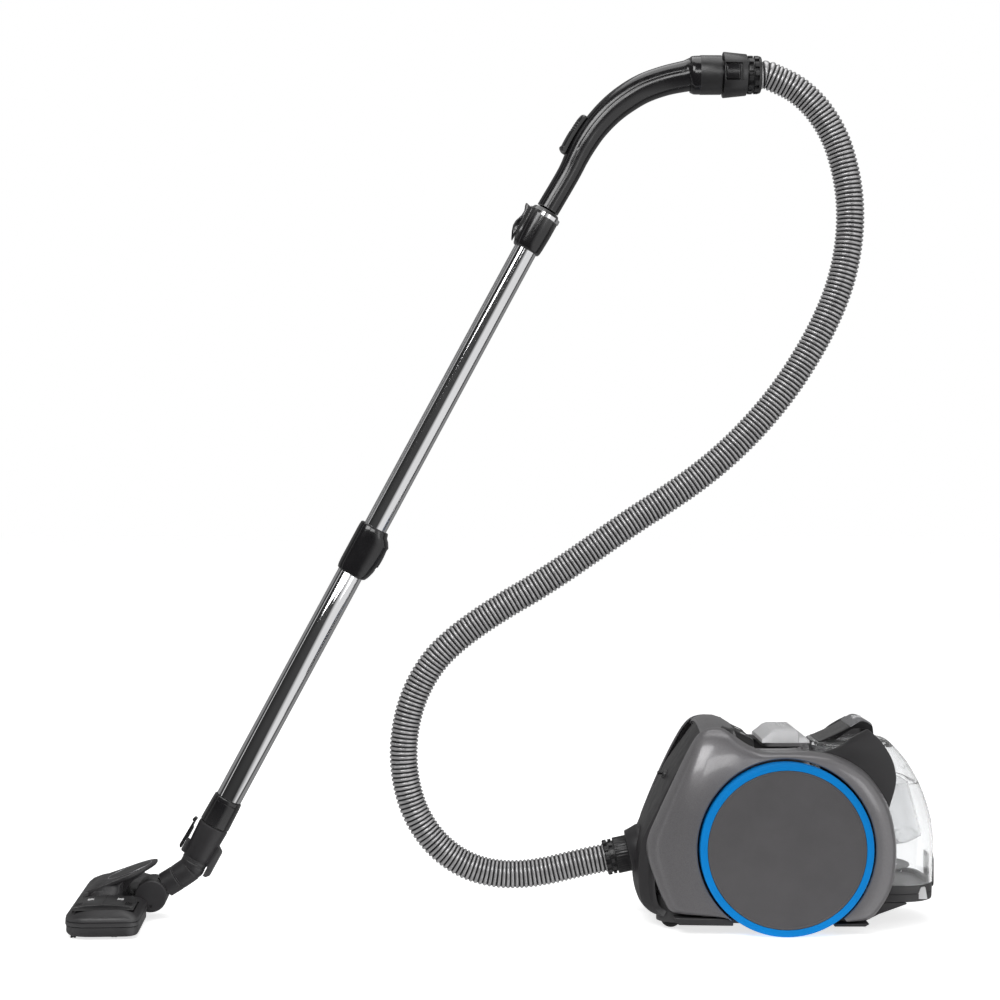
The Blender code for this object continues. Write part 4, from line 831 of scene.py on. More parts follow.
def build_grip():
    """Length grip: faceted sleeve with a swelling on its lower side that carries the button."""
    start, end = SLEEVE
    stations = [
        (start, 0.0190, 0.0190, 0.0190), (start + 0.0012, 0.0206, 0.0200, 0.0200),
        (start + 0.0060, 0.0212, 0.0212, 0.0212), (start + 0.0100, 0.0212, 0.0250, 0.0216),
        (start + 0.0170, 0.0212, 0.0292, 0.0218), (start + 0.0300, 0.0212, 0.0294, 0.0220),
        (start + 0.0450, 0.0212, 0.0284, 0.0220), (start + 0.0570, 0.0212, 0.0262, 0.0218),
        (start + 0.0650, 0.0208, 0.0236, 0.0212), (end - 0.0012, 0.0198, 0.0214, 0.0204),
        (end, 0.0184, 0.0196, 0.0190),
    ]
    table = np.array(stations)
    finer = [table[0], *evenly(table[1:-1], 40), table[-1]]
    rings = []
    for s, upper, lower, half in finer:
        ring = []
        for i in range(96):
            turn = 2 * math.pi * i / 96
            c, d = math.cos(turn), math.sin(turn)
            power = 2 / 2.5 if c > 0 else 2 / 2.2
            reach = lower if c > 0 else upper
            ring.append(on_wand(s, reach * math.copysign(abs(c) ** power, c),
                                half * math.copysign(abs(d) ** (2 / 2.4), d)))
        rings.append(ring)
    grip = loft("length_grip", rings)
    combine(grip, turned("lower_bore", WAND_POINT, WAND_DOWN,
                         [(OUTER_TUBE[0] - GAP, OUTER_TUBE_R + GAP), (end + 0.01, OUTER_TUBE_R + GAP)]))
    combine(grip, turned("upper_bore", WAND_POINT, WAND_DOWN,
                         [(start - 0.01, INNER_TUBE_R + GAP), (end, INNER_TUBE_R + GAP)]))
    middle = (start + end) / 2
    pocket = block("pocket", (-0.0164, -0.0074, 0.0225), (0.0164, 0.0074, 0.0400))
    combine(grip, placed(pocket, wand_place(middle, 1)))
    for side in (-1, 1):
        for low, high in ((-0.0220, -0.0212), (0.0212, 0.0220)):
            line = block("line", (low, side * 0.0225 - 0.0012, 0.0020), (high, side * 0.0225 + 0.0012,
                    0.0150))
            combine(grip, placed(line, wand_place(middle, 1)))
    dressed(grip, "black_gloss", "lower_wand", "telescopic_sleeve")
    rings = []
    for x, top in ((-0.0120, 0.0270), (-0.0112, 0.0286), (-0.0040, 0.0291), (0.0040, 0.0291), (0.0112,
            0.0286),
                   (0.0120, 0.0270)):
        rings.append([Vector((x, y, z)) for y, z in (
            (-0.0070, 0.0230), (-0.0070, top - 0.0008), (-0.0062, top), (0.0062, top), (0.0070, top - 0.0008),
            (0.0070, 0.0230))])
    button = loft("length_button_key", rings)
    for k in range(5):
        combine(button, block("rib", (-0.0086 + 0.0036 * k, -0.0050, 0.0284), (-0.0076 + 0.0036 * k, 0.0050,
                0.03)))
    placed(button, wand_place(middle, 1))
    dressed(button, "black_soft", "length_button", "telescopic_button")


def build_lower_collar():
    start, end = LOWER_COLLAR
    stop = OUTER_TUBE[1] + GAP
    collar = turned("lower_collar", WAND_POINT, WAND_DOWN,
                    [(start, OUTER_TUBE_R + GAP), (start, 0.0184), (start + 0.0010, 0.0194),
                     (start + 0.0050, 0.0198), (start + 0.0058, 0.0193), (start + 0.0066, 0.0199),
                     (end - 0.0014, 0.0206), (end - 0.0002, 0.0198), (end, INNER_TUBE_R + 0.001),
                     (stop, INNER_TUBE_R + 0.001), (stop, OUTER_TUBE_R + GAP)], 96, False)
    dressed(collar, "black_gloss", "lower_wand", "wand_collar_lower")


add_steps = [build_hose, canister_cuff, handle_cuff, build_handle, build_slider, build_collar, build_lever,
             build_tubes, build_grip, build_lower_collar]
for add_step in add_steps:
    add_step()


# ---------------------------------------------------------------- canister casing
SHELL_OUTLINE = [
    (-0.070, 0.022), (-0.110, 0.023), (-0.144, 0.026), (-0.156, 0.040), (-0.167, 0.067),
    (-0.176, 0.097), (-0.176, 0.118), (-0.164, 0.149), (-0.147, 0.187), (-0.127, 0.228),
    (-0.112, 0.2525), (-0.098, 0.2622), (-0.078, 0.2630), (-0.060, 0.2515), (-0.042, 0.2405),
    (-0.024, 0.2350), (0.020, 0.2345), (0.045, 0.2330), (0.068, 0.2285), (0.092, 0.2175),
    (0.113, 0.2000), (0.134, 0.1660), (0.144, 0.1240), (0.144, 0.0880), (0.138, 0.0580),
    (0.124, 0.0330), (0.108, 0.0180), (0.080, 0.0160),
]
FRONT_OUTLINE = [
    (-0.170, 0.0180), (-0.177, 0.0220), (-0.184, 0.0300), (-0.188, 0.0450), (-0.1895, 0.0650),
    (-0.1890, 0.0880), (-0.1860, 0.1080), (-0.1790, 0.1260), (-0.1645, 0.1560), (-0.1450, 0.1970),
    (-0.1230, 0.2320), (-0.1010, 0.2640), (-0.0910, 0.2700), (-0.0780, 0.2690),
]
CONTAINER_REAR = [
    (0.0350, 0.2070), (0.0600, 0.2080), (0.0870, 0.2085), (0.1170, 0.2085), (0.1370, 0.2060),
    (0.1640, 0.1985), (0.1880, 0.1885), (0.2130, 0.1740), (0.2300, 0.1600), (0.2400, 0.1500),
]


TOP_CROWN = 0.0085


def narrowing(x, z):
    """The casing's share of full width: it narrows towards its top and its nose."""
    top = 0.20 * (max(0.0, z - SPLIT_Z) / 0.12) ** 2
    nose = 0.22 * (max(0.0, -0.105 - x) / 0.08) ** 2
    return (1 - top) * (1 - nose)


def narrow(obj):
    for vert in obj.data.vertices:
        vert.co.y *= narrowing(vert.co.x - AXLE_X, vert.co.z)
    return obj


def polar_outline():
    curve = np.array(smooth_curve(SHELL_OUTLINE, 10))
    turn = np.unwrap(np.arctan2(curve[:, 1] - AXLE_Z, curve[:, 0]))[::-1]
    reach = np.hypot(curve[:, 0], curve[:, 1] - AXLE_Z)[::-1]
    return turn, reach


def build_shell(name, side):
    """Lacquered side shell: a crowned band round the wheel arch with a rolled lip."""
    turn, reach = polar_outline()
    angles = np.linspace(turn[0], turn[-1], 260)
    outs = np.interp(angles, turn, reach)
    rings = []
    for angle, out in zip(angles, outs):
        inner = ARCH_R + 0.0008
        band = max(0.0015, out - inner)
        section = [(out - 0.0020, SHELL_IN_Y), (out, SHELL_IN_Y + 0.0004)]
        rise = SHELL_OUT_Y - 0.1010
        for k in range(13):
            t = math.pi / 2 * k / 12
            rho = inner + (band - 0.0) * math.cos(t) ** (2 / 2.7)
            y = 0.1010 + rise * math.sin(t) ** (2 / 2.7)
            section.append((rho if k < 12 else inner + 0.0006, y))
        section += [(ARCH_R, SHELL_OUT_Y - 0.0008), (ARCH_R, SHELL_IN_Y), (ARCH_R + 0.0012, SHELL_IN_Y)]
        lip = min(0.0025, band * 0.4)
        section += [(ARCH_R + 0.0014, SHELL_OUT_Y - 0.0035), (out - lip - band * 0.25, SHELL_OUT_Y - 0.0080),
                    (out - lip, 0.1040)]
        rings.append([at(rho * math.cos(angle), side * y, AXLE_Z + rho * math.sin(angle)) for rho,
                      y in section])
    shell = narrow(loft(f"shell_{name}", rings, True, 28))
    dressed(shell, "grey_lacquer", "canister", f"side_shell_{name}")
    low, high = sorted((side * 0.0975, side * 0.1225))
    for label, x0, x1, z1 in (("front", -0.1440, -0.0680, 0.0215), ("rear", 0.0620, 0.1080, 0.0150)):
        outline = [(AXLE_X + x0 + 0.006, 0.0125), (AXLE_X + x1, 0.0125), (AXLE_X + x1, z1), (AXLE_X + x0, z1)]
        if label == "rear":
            outline = [(AXLE_X + x0, 0.0115), (AXLE_X + x1 - 0.006, 0.0115), (AXLE_X + x1, z1),
                       (AXLE_X + x0, z1)]
        sill = rounded(prism(f"sill_{label}_{name}", outline, low, high), 0.0012)
        dressed(narrow(sill), "dark_plastic", "canister")


def build_front_frame():
    """Dark nose with a crease near each side and the round hole of the hose socket."""
    curve = evenly(smooth_curve(FRONT_OUTLINE, 8), 70)
    ways = []
    for i in range(len(curve)):
        along = curve[min(i + 1, len(curve) - 1)] - curve[max(i - 1, 0)]
        along = along / np.linalg.norm(along)
        ways.append(np.array([along[1], -along[0]]))
    shares = [0.0, 0.15, 0.3, 0.45, 0.6, 0.72, 0.80, 0.815, 0.83, 0.88, 0.94, 0.985, 1.0]
    rings = []
    for share in [-s for s in shares[:0:-1]] + shares:
        size = abs(share)
        back = 0.0060 * size**3 + 0.0090 * max(0.0, (size - 0.82) / 0.18)
        depth = 0.0080 if size > 0.9 else 0.0038
        inner = [point + depth * way for point, way in zip(curve, ways)]
        ring = []
        for x, z in [*curve, *inner[::-1]]:
            crown = TOP_CROWN * share**2 * max(0.0, (z - 0.20) / 0.07)
            ring.append(at(x + back, 0.0962 * share, z - crown))
        rings.append(ring)
    nose = narrow(loft("nose_frame", rings, True, 16))
    combine(nose, turned("hole", SOCKET_POINT, SOCKET_AXIS, [(-0.03, 0.0335), (0.05, 0.0335)], 96))
    dressed(nose, "dark_plastic", "canister", "front_frame")
    boss = [(-0.0040, 0.0285), (-0.0040, 0.0296), (-0.0030, 0.0304), (0.0060, 0.0330), (0.0120, 0.0352),
            (0.0150, 0.0356), (0.0150, 0.0330), (0.0480, 0.0328), (0.0480, 0.0215), (0.0004, 0.0215),
            (0.0004, 0.0280)]
    dressed(turned("socket_boss", SOCKET_POINT, SOCKET_AXIS, boss, 96, False), "dark_plastic", "canister",
            "hose_socket")
    rest = turned("storage_pin", at(-0.1430, -0.0100, 0.1945), (-1, 0, 0.06),
                  [(-0.0060, 0.0026), (0.0020, 0.0024), (0.0110, 0.0021), (0.0130, 0.0024), (0.0142, 0.0022),
                   (0.0148, 0.0012)], 32)
    dressed(rest, "black_soft", "canister")
    foot = turned("storage_pin_foot", at(-0.1490, -0.0100, 0.1940), (-1, 0, 0.55),
                  [(-0.0050, 0.0068), (0.0000, 0.0066), (0.0014, 0.0058), (0.0018, 0.0030)], 40)
    dressed(foot, "dark_plastic", "canister")


def build_tub():
    """Lower casing: rounded trough, rear platform, caster wells and axle holes."""
    levels = [(0.0080, -0.140, 0.034, 0.082), (0.0088, -0.1425, 0.0355, 0.0845), (0.0110, -0.1450, 0.0375,
            0.0870),
              (0.0170, -0.151, 0.0400, 0.0915), (0.0400, -0.158, BULKHEAD_X, TUB_HALF),
              (SPLIT_Z - GAP, -0.150, BULKHEAD_X, TUB_HALF)]
    outer = [superellipse(x0, x1, half, z) for z, x0, x1, half in levels]
    inner = [superellipse(x0 + 0.003, x1 - 0.003, half - 0.003, max(z, 0.0112)) for z, x0, x1,
             half in levels[2:]]
    tub = loft("lower_casing", outer + inner[::-1])
    platform = prism("platform", [(AXLE_X + 0.030, 0.0080), (AXLE_X + 0.106, 0.0080), (AXLE_X + 0.128,
            0.0190),
                                  (AXLE_X + 0.164, 0.0320), (AXLE_X + 0.164, 0.0335), (AXLE_X + 0.030,
                                          0.0335)], -0.078, 0.078)
    rounded(platform, 0.0015)
    combine(platform, block("hollow", at(0.045, -0.074, -0.001), at(0.100, 0.074, 0.0295)))
    combine(tub, platform, "UNION")
    for _, side in SIDES:
        foot = at(CASTER[0], side * CASTER[1], 0.0)
        combine(tub, turned("well", foot, Z_AXIS, [(0.0100, 0.0270), (0.0440, 0.0270)], 64), "UNION")
    for _, side in SIDES:
        foot = at(CASTER[0], side * CASTER[1], 0.0)
        combine(tub, turned("bore", foot, Z_AXIS, [(-0.001, 0.0240), (0.0380, 0.0240)], 64))
        combine(tub, turned("pin", foot, Z_AXIS, [(0.03, 0.0032), (0.05, 0.0032)], 32))
        combine(tub, turned("hole", AXLE, Y_AXIS * side, [(0.08, 0.0062), (0.11, 0.0062)], 48))
    combine(tub, turned("mouth", SOCKET_POINT, SOCKET_AXIS, [(0.0, 0.0334), (0.065, 0.0334)], 64))
    gland = at(0.0110, 0.0830, 0.0600)
    combine(tub, turned("boss", gland, X_AXIS, [(0.0, 0.0085), (0.0300, 0.0085)], 48), "UNION")
    combine(tub, turned("way", gland, X_AXIS, [(-0.01, 0.0062), (0.04, 0.0062)], 48))
    for k in range(9):
        x = -0.100 + 0.014 * k
        combine(tub, block("vent", at(x, -0.030, 0.0), at(x + 0.005, 0.030, 0.0125)))
    dressed(tub, "dark_plastic", "canister", "base_tub")


def build_deck():
    """Upper casing with button pockets, dial recess, port and vent slits, and a crown cover."""
    levels = [
        (DECK_Z, -0.088, BULKHEAD_X - 0.007, 0.0690), (DECK_Z - 0.0008, -0.0915, BULKHEAD_X - 0.004, 0.0715),
        (DECK_Z - 0.0030, -0.0960, BULKHEAD_X - 0.001, 0.0750), (DECK_Z - 0.0070, -0.102, BULKHEAD_X, 0.0780),
        (0.2200, -0.113, BULKHEAD_X, 0.0840), (0.1850, -0.134, BULKHEAD_X, 0.0915),
        (SPLIT_Z + GAP, -0.150, BULKHEAD_X, TUB_HALF),
    ]
    outer = [superellipse(x0, x1, half, z) for z, x0, x1, half in levels]
    inner = [superellipse(x0 + 0.003, x1 - 0.003, half - 0.003, z - 0.003) for z, x0, x1,
             half in levels[1:-1]]
    inner.append(superellipse(-0.147, BULKHEAD_X - 0.003, TUB_HALF - 0.003, SPLIT_Z + GAP))
    deck = loft("upper_casing", outer[::-1] + inner)
    for vert in deck.data.vertices:
        if vert.co.z > 0.2330:
            vert.co.z -= 0.0060 * (vert.co.y / 0.0750) ** 2
    for y in (-0.031, 0.031):
        combine(deck, block("pocket", at(-0.0710, y - 0.0265, 0.225), at(-0.0330, y + 0.0265, 0.245)))
    combine(deck, turned("dial_hole", at(DIAL_X, 0, 0), Z_AXIS, [(0.22, 0.0066), (0.25, 0.0066)], 48))
    combine(deck, turned("port", at(BULKHEAD_X, 0, 0.195), X_AXIS, [(-0.02, 0.0230), (0.02, 0.0230)], 64))
    for k in range(8):
        x = -0.022 + 0.007 * k
        for y in (-0.066, 0.060):
            combine(deck, block("slit", at(x, y, 0.230), at(x + 0.003, y + 0.006, 0.245)))
    dressed(deck, "grey_lacquer", "canister", "top_deck")
    cap = []
    for share in np.linspace(-1, 1, 25):
        drop = TOP_CROWN * share**2
        cap.append([at(x, 0.0795 * share, z - drop) for x, z in
                    ((-0.1060, 0.2620), (-0.1040, 0.2660), (-0.0940, 0.2704), (-0.0900, 0.2708), (-0.0800,
                            0.2704),
                     (-0.0700, 0.2672), (-0.0600, 0.2610), (-0.0560, 0.2520), (-0.0720, 0.2500), (-0.0960,
                             0.2520))])
    dressed(loft("crown_cover", cap), "grey_lacquer", "canister")
    for k, angle in enumerate(range(-120, 121, 30)):
        way = Vector((-math.cos(math.radians(angle)), math.sin(math.radians(angle)), 0))
        dot = turned(f"dial_mark_{k}", at(DIAL_X, 0, DECK_Z - 0.0002) + way * 0.0118, Z_AXIS,
                     [(0.0, 0.0005 + 0.00007 * k), (0.0005, 0.0005 + 0.00007 * k)], 16)
        if way.x > -0.6:
            dressed(dot, "light_clear", "canister", look=PALE_MARK)
        else:
            bpy.data.objects.remove(dot, do_unlink=True)


def build_filter_cover():
    """Pale translucent cover with a stepped top and finger ribs."""
    outline = [(-0.0230, 0.2406), (-0.0226, 0.2452), (-0.0180, 0.2486), (-0.0120, 0.2540), (-0.0100, 0.2556),
               (-0.0040, 0.2576), (0.0230, 0.2578), (0.0250, 0.2560), (0.0256, 0.2484), (0.0370, 0.2468),
               (0.0396, 0.2440), (0.0400, 0.2406)]
    fine = evenly(outline, 70)
    rings = []
    for share in np.linspace(-1, 1, 25):
        lift = (1 - abs(share) ** 14) ** 0.5
        rings.append([at(x, 0.0580 * share, 0.2406 + (z - 0.2406) * (0.12 + 0.88 * lift)) for x, z in fine])
    cover = loft("filter_hood", rings)
    combine(cover, block("under", at(-0.0180, -0.045, 0.239), at(0.0340, 0.045, 0.2462)))
    for k in range(4):
        combine(cover, block("rib", at(0.0025 + 0.005 * k, -0.022, 0.2570), at(0.0047 + 0.005 * k, 0.022,
                0.26)))
    dressed(cover, "light_clear", "canister", "filter_cover")
    tray = loft("filter_tray", [superellipse(-0.0225, 0.0395, 0.0575, z, 6.0, 48) for z in (0.2360, 0.2402)])
    dressed(tray, "grey_lacquer", "canister")


def build_foot_button(name, side, body):
    """Foot button with a dished pad, ribs and a generic mark."""
    outline = [(-0.0705, 0.2300), (-0.0335, 0.2300), (-0.0335, 0.2426), (-0.0350, 0.2452), (-0.0380, 0.2478),
               (-0.0500, 0.2534), (-0.0620, 0.2600), (-0.0655, 0.2612), (-0.0690, 0.2606), (-0.0705, 0.2580)]
    y = side * 0.031
    rings = []
    for share in np.linspace(-1, 1, 17):
        edge = (1 - abs(share) ** 8) ** 0.35
        dish = 0.0012 * (1 - share**2)
        rings.append([at(x, y + 0.0260 * share,
                         z if z < 0.2305 else 0.2305 + (z - 0.2305) * (0.93 + 0.07 * edge) - dish)
                      for x, z in outline])
    pad = loft(f"foot_key_{name}", rings, True, 40)
    for k in range(4):
        x = -0.0625 + 0.0028 * k
        rib = block("rib", at(x, y - 0.018, 0.2570 - 0.0014 * k), at(x + 0.0011, y + 0.018, 0.2660))
        combine(pad, rib)
    dressed(pad, "black_soft", body, f"{name}_button")
    slope = Matrix.Rotation(math.radians(26.5), 4, "Y")
    spot = Matrix.Translation(at(-0.0450, y, 0.2500)) @ slope
    mark = turned(f"{name}_mark", (0, 0, 0), Z_AXIS,
                  [(-0.0008, 0.0040), (0.0004, 0.0040), (0.0004, 0.0032), (-0.0008, 0.0032)], 40, False)
    if name == "power":
        combine(mark, block("bar", (-0.0048, -0.0004, -0.0008), (-0.0006, 0.0004, 0.0004)), "UNION")
    else:
        combine(mark, block("gap", (-0.0048, -0.0012, -0.0018), (-0.0020, 0.0012, 0.0010)))
    dressed(placed(mark, spot), "light_clear", body, look=PALE_MARK)


def build_dial():
    knurl = notched(0.0104, 0.0005, 30, 0.4)
    profile = [(0.2340, 0.0060), (0.2404, 0.0060), (0.2404, 0.0098), (0.2408, 0.0104), (0.2414, knurl),
               (0.2464, knurl), (0.2470, 0.0101), (0.2478, 0.0092), (0.2480, 0.0080)]
    dial = turned("power_dial_knob", at(DIAL_X, 0, 0), Z_AXIS, profile, 120)
    rib = rounded(block("rib", at(DIAL_X - 0.0090, -0.0014, 0.2470), at(DIAL_X + 0.0090, 0.0014, 0.2530)),
                  0.0006)
    combine(dial, rib, "UNION")
    dressed(dial, "black_gloss", "dial", "power_dial")
    tick = block("dial_tick", at(DIAL_X - 0.0084, -0.0004, 0.2529), at(DIAL_X - 0.0040, 0.0004, 0.2533))
    dressed(tick, "light_clear", "dial", look=PALE_MARK)


def build_cheek(name, side):
    outline = [
        (0.0500, 0.1300), (0.1310, 0.1300), (0.1405, 0.1613), (0.1477, 0.1861), (0.1484, 0.2031),
        (0.1431, 0.2233), (0.1308, 0.2436), (0.1220, 0.2530), (0.1120, 0.2612), (0.1050, 0.2590),
        (0.0980, 0.2555), (0.0880, 0.2495), (0.0760, 0.2405), (0.0600, 0.2340), (0.0500, 0.2320),
    ]
    curve = smooth_curve(outline[1:], 8)
    points = [(AXLE_X + 0.0500, 0.1300), *[(AXLE_X + x, z) for x, z in curve]]
    low, high = sorted((side * 0.0812, side * 0.0852))
    cheek = rounded(prism(f"cheek_{name}", points, low, high), 0.0010)
    dressed(cheek, "dark_plastic", "canister", f"cheek_panel_{name}")


# ---------------------------------------------------------------- wheels and casters
def build_wheel(name, side):
    """Flat disc with a fine rim and a hub on its inner side, and a blue tyre with tread grooves."""
    inner_y = WHEEL_FACE_Y - TYRE_WIDTH
    rim = WHEEL_R - 0.0098
    face = WHEEL_FACE_Y
    body = f"wheel_{name}"
    disc = turned(f"disc_{name}", AXLE, Y_AXIS * side,
                  [(face - 0.0056, 0.0064), (inner_y - 0.006, 0.0064), (inner_y - 0.006, 0.0140),
                   (face - 0.0090, 0.0180), (face - 0.0070, rim - 0.0040), (inner_y + 0.001, rim - 0.0040),
                   (inner_y + 0.001, rim), (face - 0.0016, rim), (face - 0.0010, rim - 0.0004),
                   (face - 0.0008, rim - 0.0014), (face - 0.0012, rim - 0.0022), (face - 0.0016,
                           rim - 0.0028),
                   (face - 0.0014, rim * 0.66), (face - 0.0012, rim * 0.33), (face - 0.0012, 0.0040)], 192)
    dressed(disc, "wheel_grey", body, f"wheel_disc_{name}")
    tread = notched(WHEEL_R, 0.0007, 90, 0.35)
    tyre = turned(f"tyre_{name}", AXLE, Y_AXIS * side,
                  [(inner_y, rim + GAP), (inner_y, WHEEL_R - 0.0015), (inner_y + 0.0004, WHEEL_R - 0.0005),
                   (inner_y + 0.0015, WHEEL_R), (inner_y + 0.0040, WHEEL_R), (inner_y + 0.0042, tread),
                   (face - 0.0092, tread), (face - 0.0090, WHEEL_R), (face - 0.0040, WHEEL_R),
                   (face - 0.0022, WHEEL_R - 0.0004), (face - 0.0010, WHEEL_R - 0.0016),
                   (face - 0.0002, WHEEL_R - 0.0042), (face, rim + 0.0044), (face - 0.0002, rim + 0.0020),
                   (face - 0.0010, rim + GAP)], 180, False)
    dressed(tyre, "tyre_blue", body, f"wheel_tyre_{name}")


def build_caster(name, side):
    pivot = at(CASTER[0], side * CASTER[1], 0.0)
    hub = pivot + Vector((-CASTER_TRAIL, 0, CASTER_R))
    fork = turned(f"fork_{name}", pivot, Z_AXIS,
                  [(0.0300, 0.0190), (0.0304, 0.0196), (0.0356, 0.0196), (0.0362, 0.0186), (0.0365, 0.0029),
                   (0.0480, 0.0029)], 64)
    for cheek in (-1, 1):
        y = hub.y + cheek * 0.0100
        outline = []
        for k in range(17):
            turn = math.pi * (1 + k / 16)
            outline.append((hub.x + 0.0060 * math.cos(turn), CASTER_R + 0.0060 * math.sin(turn)))
        outline += [(hub.x + 0.0110, 0.0250), (hub.x + 0.0110, 0.0310), (hub.x - 0.0060, 0.0310)]
        combine(fork, prism("cheek", outline, y - 0.0016, y + 0.0016), "UNION")
    combine(fork, turned("pin", hub, Y_AXIS, [(-0.0120, 0.0022), (0.0120, 0.0022)], 32), "UNION")
    dressed(fork, "dark_plastic", f"caster_{name}", f"caster_fork_{name}")
    roller = turned(f"roller_{name}", hub, Y_AXIS,
                    [(-0.0070, 0.0026), (-0.0070, 0.0080), (-0.0064, 0.0086), (-0.0070, 0.0094),
                     (-0.0070, CASTER_R - 0.0020), (-0.0064, CASTER_R - 0.0006), (-0.0050, CASTER_R),
                     (0.0050, CASTER_R), (0.0064, CASTER_R - 0.0006), (0.0070, CASTER_R - 0.0020),
                     (0.0070, 0.0094), (0.0064, 0.0086), (0.0070, 0.0080), (0.0070, 0.0026)], 72, False)
    dressed(roller, "caster_rubber", f"caster_roller_{name}", f"caster_wheel_{name}")


# ---------------------------------------------------------------- dust container
def rear_x(z):
    heights, reach = zip(*CONTAINER_REAR)
    fine = np.array(smooth_curve(list(zip(heights, reach)), 8))
    return float(np.interp(z, fine[:, 0], fine[:, 1]))


def container_ring(z, inset=0.0, half=CONTAINER_HALF):
    return superellipse(CONTAINER_FRONT_X + inset, rear_x(z) - inset, half - inset, z, 3.2, 120)


def build_container():
    """Clear bin wall with a rolled rim and base bead, base ring, trap-door clip and rear latch."""
    heights = np.linspace(0.0562, 0.1866, 26)
    outer = [container_ring(z) for z in heights]
    rim = [container_ring(0.1870, 0.0004), container_ring(0.1870, 0.0021)]
    inner = [container_ring(z, 0.0025) for z in heights]
    wall = loft("clear_bin", outer + rim + inner[::-1], False)
    combine(wall, turned("port", at(CONTAINER_FRONT_X, 0, 0.1700), X_AXIS, [(-0.01, 0.0130), (0.01,
            0.0130)], 48))
    dressed(wall, "clear_smoke", "bin", "dust_container")
    base = [container_ring(0.0340, 0.0014), container_ring(0.0346, 0.0003), container_ring(0.0354, 0.0),
            container_ring(0.0440, 0.0), container_ring(0.0444, 0.0006), container_ring(0.0450, 0.0006),
            container_ring(0.0454, 0.0), container_ring(0.0552, 0.0), container_ring(0.0556, 0.0006),
            container_ring(0.0556, 0.0060), container_ring(0.0500, 0.0070)]
    dressed(loft("bin_base", base), "dark_plastic", "bin", "container_floor")
    x = rear_x(0.0650) + 0.0003
    latch = [(x, 0.0441), (x + 0.0036, 0.0441), (x + 0.0042, 0.0480), (x + 0.0042, 0.0800), (x + 0.0030,
            0.0885),
             (x, 0.0885)]
    key = rounded(prism("rear_latch", [(AXLE_X + a, b) for a, b in latch], -0.0140, 0.0140), 0.0008)
    for k in range(4):
        z = 0.0560 + 0.0045 * k
        combine(key, block("rib", at(x + 0.0034, -0.0100, z), at(x + 0.0060, 0.0100, z + 0.0014)))
    dressed(key, "black_soft", "bin", "floor_latch")
    for name, side in SIDES:
        clip = [(0.1760, 0.0372), (0.1840, 0.0528), (0.1898, 0.0532), (0.1925, 0.0372)]
        low, high = sorted((side * 0.0600, side * 0.0712))
        tab = prism(f"base_clip_{name}", [(AXLE_X + a, b) for a, b in clip], low, high)
        dressed(rounded(tab, 0.0010), "light_clear", "bin")


def build_separator():
    """Inside the bin: translucent separator chamber, cone, baffle ring with three arms and the outlet."""
    levels = [(0.1047, 0.0800, 0.1650, 0.0480), (0.1075, 0.0760, 0.1800, 0.0520), (0.1155, 0.0720, 0.1945,
            0.0540),
              (0.1190, 0.0715, 0.1950, 0.0545), (0.1774, 0.0680, 0.1790, 0.0560), (0.1860, 0.0670, 0.1765,
                      0.0560)]
    outer = [superellipse(x0, x1, half, z, 4.0, 96) for z, x0, x1, half in levels]
    inner = [superellipse(x0 + 0.002, x1 - 0.002, half - 0.002, max(z, 0.1068), 4.0, 96)
             for z, x0, x1, half in levels]
    chamber = loft("separator_chamber", outer + inner[::-1])
    dressed(chamber, "clear_smoke", "bin", "cyclone_cone")
    cone = turned("separator_cone", at(0.1130, 0, 0), Z_AXIS,
                  [(0.0690, 0.0180), (0.0690, 0.0290), (0.0710, 0.0300), (0.0980, 0.0380), (0.1040, 0.0380),
                   (0.1040, 0.0340), (0.0720, 0.0180)], 96, False)
    dressed(cone, "black_gloss", "bin")
    ring = turned("baffle_ring", at(0.1230, 0, 0), Z_AXIS,
                  [(0.0718, 0.0420), (0.0718, 0.0585), (0.0728, 0.0590), (0.0734, 0.0585), (0.0734,
                          0.0420)], 96, False)
    dressed(ring, "dark_plastic", "bin")
    for k in range(3):
        turn = 2 * math.pi * k / 3 + 0.5
        arm = block("arm", (0.0280, -0.0012, 0.0718), (0.0430, 0.0012, 0.0732))
        placed(arm, Matrix.Translation(at(0.1200, 0, 0)) @ Matrix.Rotation(turn, 4, "Z"))
        arm.name = f"baffle_arm_{k}"
        dressed(arm, "dark_plastic", "bin")
    post = turned("separator_outlet", at(0.1130, 0, 0), Z_AXIS,
                  [(0.1080, 0.0200), (0.1840, 0.0240), (0.1840, 0.0220), (0.1080, 0.0180)], 72, False)
    dressed(post, "light_clear", "bin")


def build_hood():
    """Clear hood over the bin with a seam bead."""
    stack = [(0.1876, 0.0008), (0.1880, 0.0), (0.1900, -0.0004), (0.1920, 0.0), (0.2000, 0.0010), (0.2130,
            0.0030),
             (0.2260, 0.0070), (0.2310, 0.0095), (0.2350, 0.0130), (0.2385, 0.0175), (0.2400, 0.0240)]
    outer = [container_ring(z, 0.0, CONTAINER_HALF - drop) for z, drop in stack]
    inner = [container_ring(z, 0.0025, CONTAINER_HALF - drop) for z, drop in stack[:-2]]
    top = container_ring(0.2400, 0.0040, CONTAINER_HALF - 0.0240)
    inner.append([v - Vector((0, 0, 0.0030)) for v in top])
    hood = loft("clear_hood", outer[::-1] + inner)
    combine(hood, turned("port", at(CONTAINER_FRONT_X, 0, 0.2060), X_AXIS, [(-0.01, 0.0160), (0.01,
            0.0160)], 48))
    dressed(hood, "clear_smoke", "bin_lid", "container_lid")


